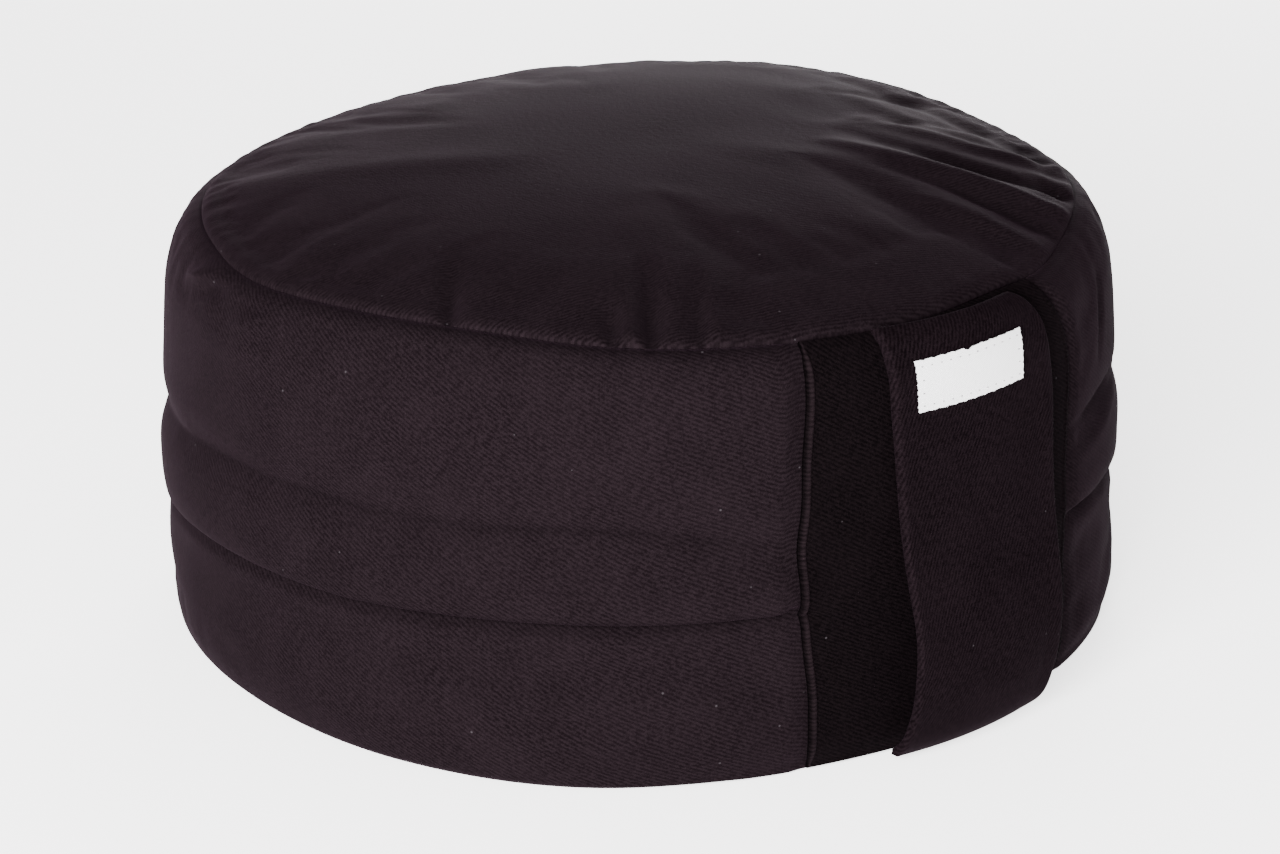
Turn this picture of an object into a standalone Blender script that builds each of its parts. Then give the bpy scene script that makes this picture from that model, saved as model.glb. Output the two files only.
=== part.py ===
"""A zafu meditation cushion: a filled round body, a plain side insert, a carry strap and a blank label.

Metres, +Z up, origin on the floor under the body's centre. A bearing is an angle in degrees round
the body, seen from above: 0 is the strap's side (-Y), 90 is +X and -90 is -X.
"""

import math

import bmesh
import bpy
import numpy as np

COLLECTION = "zafu_meditation_cushion"

# Driving dimensions of the filled body
SEAM_HEIGHT = 0.1463
SEAM_RADIUS = 0.1525
CROWN_RISE = 0.0165
CROWN_POWER = 2.8
LIP_RISE = 0.0022
LIP_REACH = 0.0030
SEAM_DRAW = 0.0014
FOOT_RADIUS = 0.1588
FOOT_SEAM_HEIGHT = 0.0028
SEGMENTS = 112

# The band where it is plain, from the bottom seam up to the top seam: height, radius
BAND_PROFILE = (
    (FOOT_SEAM_HEIGHT, 0.1628),
    (0.0085, 0.1650),
    (0.0220, 0.1654),
    (0.0450, 0.1654),
    (0.0620, 0.1662),
    (0.0800, 0.1660),
    (0.1000, 0.1650),
    (0.1180, 0.1638),
    (0.1310, 0.1620),
    (0.1395, 0.1592),
    (0.1440, 0.1558),
    (SEAM_HEIGHT, SEAM_RADIUS),
)

# How far the foot of the band stands out or in: bearing, distance
FOOT_REACH = (
    (-124, 0.0000),
    (-105, -0.0015),
    (-90, 0.0000),
    (-68, 0.0022),
    (-45, 0.0028),
    (-29, -0.0030),
    (-20, -0.0060),
    (0, -0.0045),
    (17, -0.0035),
    (28, -0.0012),
    (42, 0.0015),
    (100, 0.0005),
    (170, -0.0005),
)
FOOT_REACH_FADE = 0.035

# The top seam: bearing, distance out of its mean radius, distance above its mean height
SEAM_WANDER = (
    (-124, -0.0010, -0.0008),
    (-110, 0.0000, 0.0000),
    (-96, 0.0019, -0.0008),
    (-77, -0.0015, 0.0006),
    (-60, -0.0027, 0.0011),
    (-43, 0.0005, -0.0002),
    (-22, 0.0018, -0.0008),
    (-9, 0.0020, -0.0009),
    (10, 0.0000, 0.0000),
    (17, 0.0010, -0.0004),
    (29, -0.0012, 0.0010),
    (42, -0.0005, 0.0030),
    (60, 0.0000, 0.0010),
    (78, 0.0000, -0.0010),
    (103, 0.0000, 0.0022),
    (119, 0.0000, 0.0030),
    (136, 0.0000, 0.0012),
    (155, 0.0000, -0.0010),
    (175, -0.0003, -0.0036),
    (-158, -0.0005, -0.0048),
    (-143, -0.0008, -0.0034),
)
SEAM_WANDER_FADE = 0.030

# The band's rings near each fold, above its line, and near the top seam, below it
DEEP_FOLD_RINGS = (-0.017, -0.008, -0.003, 0.001, 0.007)
SOFT_FOLD_RINGS = (-0.011, -0.005, 0.000, 0.007)
SHOULDER_RINGS = (0.0140, 0.0065, 0.0025)

# The deep fold round the band: bearing, height of its lip, depth
DEEP_FOLD = (
    (-155, 0.0400, 0.0000),
    (-122, 0.0470, 0.0020),
    (-100, 0.0545, 0.0034),
    (-74, 0.0570, 0.0040),
    (-52, 0.0595, 0.0040),
    (-29, 0.0610, 0.0036),
    (-23, 0.0612, 0.0006),
    (-18, 0.0612, 0.0000),
    (18, 0.0615, 0.0000),
    (23, 0.0615, 0.0016),
    (30, 0.0600, 0.0020),
    (43, 0.0500, 0.0024),
    (72, 0.0430, 0.0020),
    (100, 0.0420, 0.0000),
    (160, 0.0400, 0.0000),
)

# The soft fold above it: bearing, height of its crease, depth
SOFT_FOLD = (
    (-178, 0.0720, 0.0000),
    (-152, 0.0740, 0.0018),
    (-122, 0.0785, 0.0022),
    (-96, 0.0855, 0.0024),
    (-62, 0.0880, 0.0024),
    (-38, 0.0885, 0.0018),
    (-27, 0.0840, 0.0000),
    (18, 0.0840, 0.0000),
    (26, 0.0850, 0.0022),
    (40, 0.0830, 0.0026),
    (72, 0.0780, 0.0026),
    (108, 0.0820, 0.0020),
    (140, 0.0800, 0.0000),
)

# The side insert: height, bearing of its left seam, of its right seam, how far it draws the body in
INSERT_SEAMS = (
    (0.004, -20.2, 19.6, 0.0010),
    (0.033, -20.1, 22.1, 0.0016),
    (0.060, -21.4, 21.0, 0.0016),
    (0.093, -21.4, 20.6, 0.0020),
    (0.116, -21.1, 20.4, 0.0028),
    (0.126, -21.0, 19.4, 0.0032),
    (0.136, -21.3, 17.0, 0.0028),
    (0.150, -21.7, 13.0, 0.0006),
)
INSERT_MARGIN = 1.8
INSERT_DRAW_WIDTH = 1.8
INSERT_THICKNESS = 0.0014
INSERT_COLUMNS = 14
INSERT_FIRST_RING = 1

# The top panel's folds, in plan: start x and y, middle x and y, end x and y, rise, half width
TOP_FOLDS = (
    (0.086, -0.123, 0.077, -0.061, 0.076, 0.047, 0.0034, 0.0055),
    (0.074, -0.130, 0.066, -0.062, 0.065, 0.039, -0.0024, 0.0060),
    (0.074, -0.123, 0.060, -0.091, 0.054, -0.052, 0.0014, 0.0055),
    (0.057, -0.126, 0.047, -0.068, 0.046, -0.039, -0.0020, 0.0070),
    (0.045, -0.142, 0.041, -0.099, 0.038, -0.032, 0.0024, 0.0110),
    (0.103, -0.083, 0.103, -0.045, 0.105, 0.016, 0.0030, 0.0070),
    (0.111, -0.093, 0.123, -0.046, 0.121, 0.035, -0.0032, 0.0075),
    (0.097, -0.114, 0.098, -0.102, 0.098, -0.089, -0.0026, 0.0060),
    (-0.118, 0.077, -0.080, 0.045, -0.042, 0.013, 0.0020, 0.0090),
    (-0.041, 0.106, -0.024, 0.099, -0.008, 0.092, 0.0014, 0.0090),
    (-0.132, -0.069, -0.122, -0.057, -0.111, -0.044, -0.0018, 0.0050),
    (-0.101, -0.110, -0.095, -0.103, -0.086, -0.092, -0.0014, 0.0040),
    (-0.096, -0.115, -0.088, -0.105, -0.078, -0.094, 0.0018, 0.0045),
    (-0.089, -0.121, -0.077, -0.108, -0.064, -0.092, -0.0022, 0.0065),
    (-0.078, -0.127, -0.069, -0.117, -0.059, -0.105, 0.0016, 0.0050),
)
FOLD_STEPS = 33
FOLD_FADE = 0.006

# Rings of the top panel, as shares of the way from the centre to the seam
TOP_RINGS = (0.985, 0.958, 0.915, 0.855, 0.78, 0.69, 0.60, 0.50, 0.39, 0.27, 0.14)

# The carry strap's centre line, from the top seam down to the bottom seam: distance out, height
STRAP_WIDTH = 0.068
STRAP_THICKNESS = 0.0030
STRAP_PATH = (
    (0.1575, 0.1482),
    (0.1616, 0.1446),
    (0.1642, 0.1380),
    (0.1662, 0.1200),
    (0.1682, 0.1000),
    (0.1705, 0.0780),
    (0.1732, 0.0620),
    (0.1758, 0.0480),
    (0.1764, 0.0340),
    (0.1738, 0.0200),
    (0.1695, 0.0105),
    (0.1650, 0.0062),
)
STRAP_SECTIONS = 34
# How the strap bends round the body, as the drop of its edges: share of its length, drop
STRAP_BEND = (
    (0.00, 0.0056),
    (0.05, 0.0048),
    (0.14, 0.0034),
    (0.55, 0.0020),
    (0.85, 0.0028),
    (1.00, 0.0040),
)
# Points across one face of the strap, as shares of its half width
STRAP_ACROSS = (-1.0, -0.68, -0.34, 0.0, 0.34, 0.68, 1.0)

# The label: its edges left and right of the strap's middle, and its place along the strap
LABEL_LEFT = -0.0270
LABEL_RIGHT = 0.0215
LABEL_HEIGHT = 0.0172
LABEL_DOWN = 0.0118
LABEL_TILT = 0.0008
LABEL_THICKNESS = 0.0010
LABEL_COLUMNS = 6
LABEL_ROWS = 4

# The space left between two pieces that touch
GAP = 0.0004
# The distance over which a surface's slope is read
SLOPE_STEP = 0.0010

TWILL = (0.022, 0.014, 0.019)
INSERT_TWILL = (0.016, 0.011, 0.014)
STRAP_TWILL = (0.021, 0.015, 0.019)
LABEL_WHITE = (0.80, 0.79, 0.78)


def clear_scene():
    """Removes the objects that the scene starts with."""
    for item in list(bpy.data.objects):
        bpy.data.objects.remove(item)


def smooth(at, values, place):
    """A curve through the values that has no corners, read at a place."""
    slopes = np.gradient(values, at)
    i = np.clip(np.searchsorted(at, place) - 1, 0, len(at) - 2)
    step = at[i + 1] - at[i]
    t = np.clip((place - at[i]) / step, 0.0, 1.0)
    ends = (1 + 2 * t) * (1 - t) ** 2 * values[i] + t * t * (3 - 2 * t) * values[i + 1]
    return ends + step * t * (1 - t) * ((1 - t) * slopes[i] - t * slopes[i + 1])


def column(table, place, number=1):
    """A table's column, read at a place in its first column."""
    rows = np.array(table, float)
    return smooth(rows[:, 0], rows[:, number], np.asarray(place, float))


def round_column(table, bearing, number=1):
    """The same for a table whose first column is a bearing, which closes on itself."""
    rows = np.array(sorted(table), float)
    at = np.concatenate([rows[:, 0] - 360, rows[:, 0], rows[:, 0] + 360])
    bearing = (np.asarray(bearing, float) + 180) % 360 - 180
    return smooth(at, np.tile(rows[:, number], 3), bearing)


def bell(distance, half_width):
    """1 in the middle and nearly 0 past twice the half width."""
    return np.exp(-((distance / half_width) ** 2))


def step_up(place, half_width):
    """Rises from 0 to 1 across twice the half width, with its middle at 0."""
    t = np.clip(place / (2 * half_width) + 0.5, 0, 1)
    return t * t * (3 - 2 * t)


def polar(bearing, radius, height):
    """Points at a bearing and a radius from the body's axis."""
    angle = np.radians(bearing)
    return np.stack(
        np.broadcast_arrays(radius * np.sin(angle), -radius * np.cos(angle), height), axis=-1
    )


def seam_height(bearing):
    return SEAM_HEIGHT + round_column(SEAM_WANDER, bearing, 2)


def insert_share(bearing, height):
    """1 behind the side insert, falling to 0 just outside its seams."""
    bearing = (np.asarray(bearing, float) + 180) % 360 - 180
    left = column(INSERT_SEAMS, height, 1)
    right = column(INSERT_SEAMS, height, 2)
    inside = np.minimum(bearing - left, right - bearing)
    return step_up(inside + INSERT_MARGIN + INSERT_DRAW_WIDTH, INSERT_DRAW_WIDTH)


def side_radius(bearing, height):
    """The band's radius at a bearing and a height."""
    level = height * SEAM_HEIGHT / seam_height(bearing)
    radius = column(BAND_PROFILE, level)
    radius = radius + round_column(FOOT_REACH, bearing) * bell(height, FOOT_REACH_FADE)
    below_seam = SEAM_HEIGHT - level
    radius = radius + round_column(SEAM_WANDER, bearing) * bell(below_seam, SEAM_WANDER_FADE)
    # The deep fold's lip stands out over a narrow crease
    above = height - round_column(DEEP_FOLD, bearing)
    depth = np.maximum(round_column(DEEP_FOLD, bearing, 2), 0)
    lip = 0.45 * bell(above - 0.006, 0.007)
    crease = 0.90 * bell(above + 0.003, 0.0035) + 0.25 * bell(above + 0.010, 0.009)
    radius = radius + depth * (lip - crease)
    # The soft fold is a hollow with a roll under it
    above = height - round_column(SOFT_FOLD, bearing)
    depth = np.maximum(round_column(SOFT_FOLD, bearing, 2), 0)
    roll = 0.50 * bell(above + 0.014, 0.010)
    hollow = 0.80 * bell(above, 0.007)
    radius = radius + depth * (roll - hollow)
    return radius - column(INSERT_SEAMS, height, 3) * insert_share(bearing, height)


def ring_heights(bearing):
    """The heights of the band's rings, close together where a fold or a seam crosses."""
    deep = round_column(DEEP_FOLD, bearing)
    soft = round_column(SOFT_FOLD, bearing)
    seam = seam_height(bearing)
    foot = [FOOT_SEAM_HEIGHT, 0.0085, 0.0220]
    deep_rings = [deep + rise for rise in DEEP_FOLD_RINGS]
    soft_rings = [soft + rise for rise in SOFT_FOLD_RINGS]
    between = (deep_rings[-1] + soft_rings[0]) / 2
    low, high = soft_rings[-1], seam - SHOULDER_RINGS[0]
    plain = [low + (high - low) * share for share in (0.35, 0.70)]
    shoulder = [seam - drop for drop in SHOULDER_RINGS]
    return foot + deep_rings + [between] + soft_rings + plain + shoulder


def fold_lift(x, y):
    """How far the folds lift the top panel at a place in plan."""
    t = np.linspace(0, 1, FOLD_STEPS)
    lift = np.zeros_like(x)
    for x0, y0, x1, y1, x2, y2, rise, half_width in TOP_FOLDS:
        # The curve passes through the middle point halfway
        bend_x = 2 * x1 - (x0 + x2) / 2
        bend_y = 2 * y1 - (y0 + y2) / 2
        line_x = (1 - t) ** 2 * x0 + 2 * t * (1 - t) * bend_x + t * t * x2
        line_y = (1 - t) ** 2 * y0 + 2 * t * (1 - t) * bend_y + t * t * y2
        away = np.hypot(x[..., None] - line_x, y[..., None] - line_y)
        nearest = away.argmin(axis=-1)
        strength = np.sqrt(np.sin(np.pi * np.clip(t[nearest] * 0.85 + 0.12, 0, 1)))
        lift += rise * strength * bell(away.min(axis=-1), half_width)
    return lift


def top_points(bearing, share):
    """Points of the top panel at a share of the way from its centre to the seam."""
    seam = SEAM_RADIUS + round_column(SEAM_WANDER, bearing)
    radius = share * seam
    plan = polar(bearing, radius, 0.0)
    to_seam = (1 - share) * seam
    wander = (seam_height(bearing) - SEAM_HEIGHT) * share**2
    rise = CROWN_RISE * (1 - share**CROWN_POWER) + LIP_RISE * (1 - bell(to_seam, LIP_REACH))
    lift = fold_lift(plan[..., 0], plan[..., 1]) * (1 - bell(to_seam, FOLD_FADE))
    plan[..., 2] = SEAM_HEIGHT + wander + rise + lift
    return plan


def piece(name, bm, color, roughness):
    """Makes a named object of a closed mesh, with its own material."""
    bmesh.ops.recalc_face_normals(bm, faces=bm.faces)
    mesh = bpy.data.meshes.new(name)
    bm.to_mesh(mesh)
    bm.free()
    mesh.shade_smooth()
    mesh.set_sharp_from_angle(angle=math.radians(50))
    material = bpy.data.materials.new(name)
    material.use_nodes = True
    shader = material.node_tree.nodes["Principled BSDF"]
    shader.inputs["Base Color"].default_value = (*color, 1.0)
    shader.inputs["Roughness"].default_value = roughness
    shader.inputs["Metallic"].default_value = 0.0
    mesh.materials.append(material)
    made = bpy.data.objects.new(name, mesh)
    bpy.data.collections[COLLECTION].objects.link(made)
    return made


def loft(bm, rings, closed_round=True):
    """Joins each ring of points to the next with quads, and returns the rings' vertices."""
    lines = [[bm.verts.new(point) for point in ring] for ring in rings]
    count = len(lines[0])
    for lower, upper in zip(lines, lines[1:]):
        for i in range(count if closed_round else count - 1):
            j = (i + 1) % count
            bm.faces.new((lower[i], lower[j], upper[j], upper[i]))
    return lines


def sheet(inner, outer):
    """A closed sheet between two grids of points of the same size."""
    bm = bmesh.new()
    back = loft(bm, inner, closed_round=False)
    front = loft(bm, outer, closed_round=False)
    last_row, last_column = len(back) - 1, len(back[0]) - 1
    rim = [(0, j) for j in range(last_column)]
    rim += [(i, last_column) for i in range(last_row)]
    rim += [(last_row, j) for j in range(last_column, 0, -1)]
    rim += [(i, 0) for i in range(last_row, 0, -1)]
    for (i, j), (k, m) in zip(rim, rim[1:] + rim[:1]):
        bm.faces.new((back[i][j], back[k][m], front[k][m], front[i][j]))
    return bm


def make_cushion():
    """The filled body: a flat foot, the band with its folds, and the crowned top."""
    bearing = np.linspace(0, 360, SEGMENTS, endpoint=False)
    rings = [polar(bearing, FOOT_RADIUS + round_column(FOOT_REACH, bearing), 0.0)]
    rings += [polar(bearing, side_radius(bearing, height), height) for height in ring_heights(bearing)]
    seam_radius = SEAM_RADIUS + round_column(SEAM_WANDER, bearing)
    rings.append(polar(bearing, seam_radius - SEAM_DRAW, seam_height(bearing) - SEAM_DRAW / 2))
    rings += [top_points(bearing, share) for share in TOP_RINGS]
    bm = bmesh.new()
    lines = loft(bm, rings)
    bm.faces.new(lines[0])
    crown = bm.verts.new(top_points(np.array([0.0]), 0.0)[0])
    for i, vertex in enumerate(lines[-1]):
        bm.faces.new((vertex, lines[-1][(i + 1) % SEGMENTS], crown))
    return piece("cushion", bm, TWILL, 0.85)


def insert_points(away):
    """A grid over the band between the insert's seams, that distance off its surface."""
    rows = []
    for number, height in enumerate(ring_heights(0.0)):
        if number < INSERT_FIRST_RING:
            continue
        left = column(INSERT_SEAMS, height, 1)
        right = column(INSERT_SEAMS, height, 2)
        bearing = np.linspace(left, right, INSERT_COLUMNS)
        level = ring_heights(bearing)[number] * np.ones(INSERT_COLUMNS)
        radius = side_radius(bearing, level)
        above, below = side_radius(bearing, level + SLOPE_STEP), side_radius(bearing, level - SLOPE_STEP)
        slope = (above - below) / (2 * SLOPE_STEP)
        tilt = np.hypot(1, slope)
        rows.append(polar(bearing, radius + away / tilt, level - away * slope / tilt))
    return rows


def make_side_insert():
    """The plain upright piece behind the strap, lapped over the ends of the band."""
    bm = sheet(insert_points(GAP), insert_points(GAP + INSERT_THICKNESS))
    return piece("side_insert", bm, INSERT_TWILL, 0.88)


def strap_run():
    """Distances down the strap's path, from its top end."""
    return np.concatenate([[0], np.cumsum(np.hypot(*np.diff(np.array(STRAP_PATH), axis=0).T))])


def strap_points(across, share, away):
    """Points of the strap at a distance across and a share along it, off its centre line by away."""
    path = np.array(STRAP_PATH)
    run = strap_run()
    place = share * run[-1]
    out, height = smooth(run, path[:, 0], place), smooth(run, path[:, 1], place)
    ahead, behind = np.minimum(place + SLOPE_STEP, run[-1]), np.maximum(place - SLOPE_STEP, 0)
    along_out = smooth(run, path[:, 0], ahead) - smooth(run, path[:, 0], behind)
    along_up = smooth(run, path[:, 1], ahead) - smooth(run, path[:, 1], behind)
    length = np.hypot(along_out, along_up)
    bend = column(STRAP_BEND, share) * (across / (STRAP_WIDTH / 2)) ** 2
    out = out - bend - away * along_up / length
    height = height + away * along_out / length
    return np.stack(np.broadcast_arrays(across, -out, height), axis=-1)


def make_carry_strap():
    """The doubled strap, as a flat section with rounded edges swept down its centre line."""
    half_width, half_thick = STRAP_WIDTH / 2, STRAP_THICKNESS / 2
    face = np.array(STRAP_ACROSS) * (half_width - half_thick)
    across = np.concatenate([face, [half_width], face[::-1], [-half_width]])
    away = np.concatenate([np.full(len(face), half_thick), [0], np.full(len(face), -half_thick), [0]])
    rings = [strap_points(across, share, away) for share in np.linspace(0, 1, STRAP_SECTIONS)]
    bm = bmesh.new()
    lines = loft(bm, rings)
    bm.faces.new(lines[0])
    bm.faces.new(lines[-1])
    return piece("carry_strap", bm, STRAP_TWILL, 0.86)


def label_points(away):
    """A grid over the strap's face where the label is stitched."""
    length = strap_run()[-1]
    across = np.linspace(LABEL_LEFT, LABEL_RIGHT, LABEL_COLUMNS + 1)
    lean = LABEL_TILT * (across - LABEL_LEFT) / (LABEL_RIGHT - LABEL_LEFT)
    rows = []
    for down in np.linspace(0, LABEL_HEIGHT, LABEL_ROWS + 1):
        share = (LABEL_DOWN + down - lean) / length
        rows.append(strap_points(across, share, STRAP_THICKNESS / 2 + away))
    return rows


def make_label():
    """The blank woven label, a little off the strap's face."""
    bm = sheet(label_points(GAP), label_points(GAP + LABEL_THICKNESS))
    return piece("label", bm, LABEL_WHITE, 0.70)


def main():
    clear_scene()
    collection = bpy.data.collections.new(COLLECTION)
    bpy.context.scene.collection.children.link(collection)
    cushion = make_cushion()
    for made in (make_side_insert(), make_carry_strap()):
        made.parent = cushion
    label = make_label()
    label.parent = bpy.data.objects["carry_strap"]


main()
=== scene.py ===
"""The looks of a zafu meditation cushion: filled twill body, side insert, carry strap and blank label.

Metres, +Z up, origin on the floor under the body's centre. A bearing is an angle in degrees round
the body, seen from above: 0 is the strap's side (-Y), 90 is +X and -90 is -X.
"""

import logging
import math
from dataclasses import dataclass
from enum import Enum

import bpy
import numpy as np
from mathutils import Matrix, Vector
from mathutils.kdtree import KDTree


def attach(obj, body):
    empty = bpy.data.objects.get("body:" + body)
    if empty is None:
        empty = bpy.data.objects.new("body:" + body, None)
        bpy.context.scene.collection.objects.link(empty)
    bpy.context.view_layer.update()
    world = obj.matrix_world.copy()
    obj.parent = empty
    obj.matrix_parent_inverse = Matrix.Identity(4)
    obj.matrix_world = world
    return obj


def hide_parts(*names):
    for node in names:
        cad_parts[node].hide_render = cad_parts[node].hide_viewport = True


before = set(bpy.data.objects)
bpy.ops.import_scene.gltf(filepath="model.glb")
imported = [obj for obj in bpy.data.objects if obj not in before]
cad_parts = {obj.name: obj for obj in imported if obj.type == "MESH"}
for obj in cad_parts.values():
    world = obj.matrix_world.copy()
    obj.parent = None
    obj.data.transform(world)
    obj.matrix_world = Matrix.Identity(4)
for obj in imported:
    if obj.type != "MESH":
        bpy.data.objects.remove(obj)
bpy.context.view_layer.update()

Array = np.ndarray
Table = tuple[tuple[float, ...], ...]
Colour = tuple[float, float, float]
Span = tuple[float, float]

LOG = logging.getLogger("zafu")
WEAVE_MAP = "weave"
# The mesh layer of painted light and shade: above 0 a painted highlight, below 0 painted shade
PAINTED_LIGHT_LAYER = "painted_light_and_shade"
# What rounding leaves of a number, the distance at which points merge, and the length of a collapsed edge
TINY = 1e-9
MERGE_DISTANCE = 0.00002
COLLAPSED_EDGE = 0.00001


class Hold(Enum):
    STRETCHED = "stretched"
    LAID = "laid"


class Level(Enum):
    """The heights against which the band's rows are spaced."""

    FOOT = "bottom seam"
    FLOOR = "floor"
    DEEP = "deep fold"
    SOFT = "soft fold"
    SEAM = "top seam"


def smooth(at: Array, values: Array, place: Array) -> Array:
    """Reads a curve through the values that has no corners.

    Args:
        at: Places of the known values, rising.
        values: The known values.
        place: Where the curve is read.

    Returns:
        The curve's value at each place.
    """
    slopes = np.gradient(values, at)
    i = np.clip(np.searchsorted(at, place) - 1, 0, len(at) - 2)
    step = at[i + 1] - at[i]
    t = np.clip((place - at[i]) / step, 0.0, 1.0)
    ends = (1 + 2 * t) * (1 - t) ** 2 * values[i] + t * t * (3 - 2 * t) * values[i + 1]
    return ends + step * t * (1 - t) * ((1 - t) * slopes[i] - t * slopes[i + 1])


def column(table: Table, place: Array, number: int = 1) -> Array:
    """Reads a table's column at places in its first column.

    Args:
        table: Rows of numbers, with the place first.
        place: Where the column is read.
        number: Which column.

    Returns:
        The column's value at each place.
    """
    rows = np.array(table, float)
    return smooth(rows[:, 0], rows[:, number], np.asarray(place, float))


def round_column(table: Table, bearing: Array, number: int = 1) -> Array:
    """Reads the column of a table whose first column is a bearing, so that it closes on itself.

    Args:
        table: Rows of numbers, with the bearing first, in any order.
        bearing: Where the column is read, in degrees.
        number: Which column.

    Returns:
        The column's value at each bearing.
    """
    rows = np.array(sorted(table), float)
    at = np.concatenate([rows[:, 0] - 360, rows[:, 0], rows[:, 0] + 360])
    return smooth(at, np.tile(rows[:, number], 3), wrapped(bearing))


def wrapped(bearing: Array) -> Array:
    """Brings bearings into the range from -180 to 180 degrees."""
    return (np.asarray(bearing, float) + 180) % 360 - 180


def bell(distance: Array, half_width: float) -> Array:
    """Returns 1 in the middle, falling to nearly 0 past twice the half width."""
    return np.exp(-((distance / half_width) ** 2))


def step_up(place: Array, half_width: float) -> Array:
    """Returns a rise from 0 to 1 across twice the half width, with its middle at 0."""
    t = np.clip(place / (2 * half_width) + 0.5, 0, 1)
    return t * t * (3 - 2 * t)


def swell_along(share: Array, ends: Span) -> Array:
    """Gives the strength of a fold along its length.

    Args:
        share: Share of the way along the fold.
        ends: How much of a half wave the fold takes up, and where in the wave it starts.

    Returns:
        The strength, most near the middle, with some left at the ends.
    """
    return np.sin(np.pi * np.clip(share * ends[0] + ends[1], 0, 1))


def ragged(place: Array, waves: Table) -> Array:
    """Gives a ragged line.

    Args:
        place: Places along the line.
        waves: The rate, share and start of each of its waves.

    Returns:
        The line's height at each place.
    """
    return sum(share * np.sin(place * rate + start) for rate, share, start in waves)


def polar(bearing: Array, radius: Array, height: Array) -> Array:
    """Places points round the body's axis.

    Args:
        bearing: Degrees round the body.
        radius: Distance from the axis.
        height: Distance above the floor.

    Returns:
        Points as rows of x, y and z.
    """
    angle = np.radians(bearing)
    parts = np.broadcast_arrays(radius * np.sin(angle), -radius * np.cos(angle), height)
    return np.stack(parts, axis=-1)


def near_line(x: Array, y: Array, line: Array) -> tuple[Array, Array]:
    """Finds how far places lie from a line of points.

    Args:
        x: First coordinate of each place.
        y: Second coordinate of each place.
        line: The line's points, evenly spaced along it.

    Returns:
        The distance to the line, and the share of the way along it of the nearest point.
    """
    best = np.full(x.shape, np.inf)
    share = np.zeros(x.shape)
    count = len(line) - 1
    for i in range(count):
        start, run = line[i], line[i + 1] - line[i]
        t = ((x - start[0]) * run[0] + (y - start[1]) * run[1]) / max(run @ run, TINY)
        t = np.clip(t, 0, 1)
        away = np.hypot(x - start[0] - t * run[0], y - start[1] - t * run[1])
        closer = away < best
        best = np.where(closer, away, best)
        share = np.where(closer, (i + t) / count, share)
    return best, share


@dataclass(frozen=True)
class Ridge:
    """A rounded ridge beside a line: its height, how far off the line it lies, and its half width."""

    height: float
    off: float
    half_width: float

    def at(self, distance: Array, scale: Array | float = 1.0) -> Array:
        """Returns the ridge's height, times a scale, at distances from the line."""
        return scale * self.height * bell(distance - self.off, self.half_width)


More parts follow.
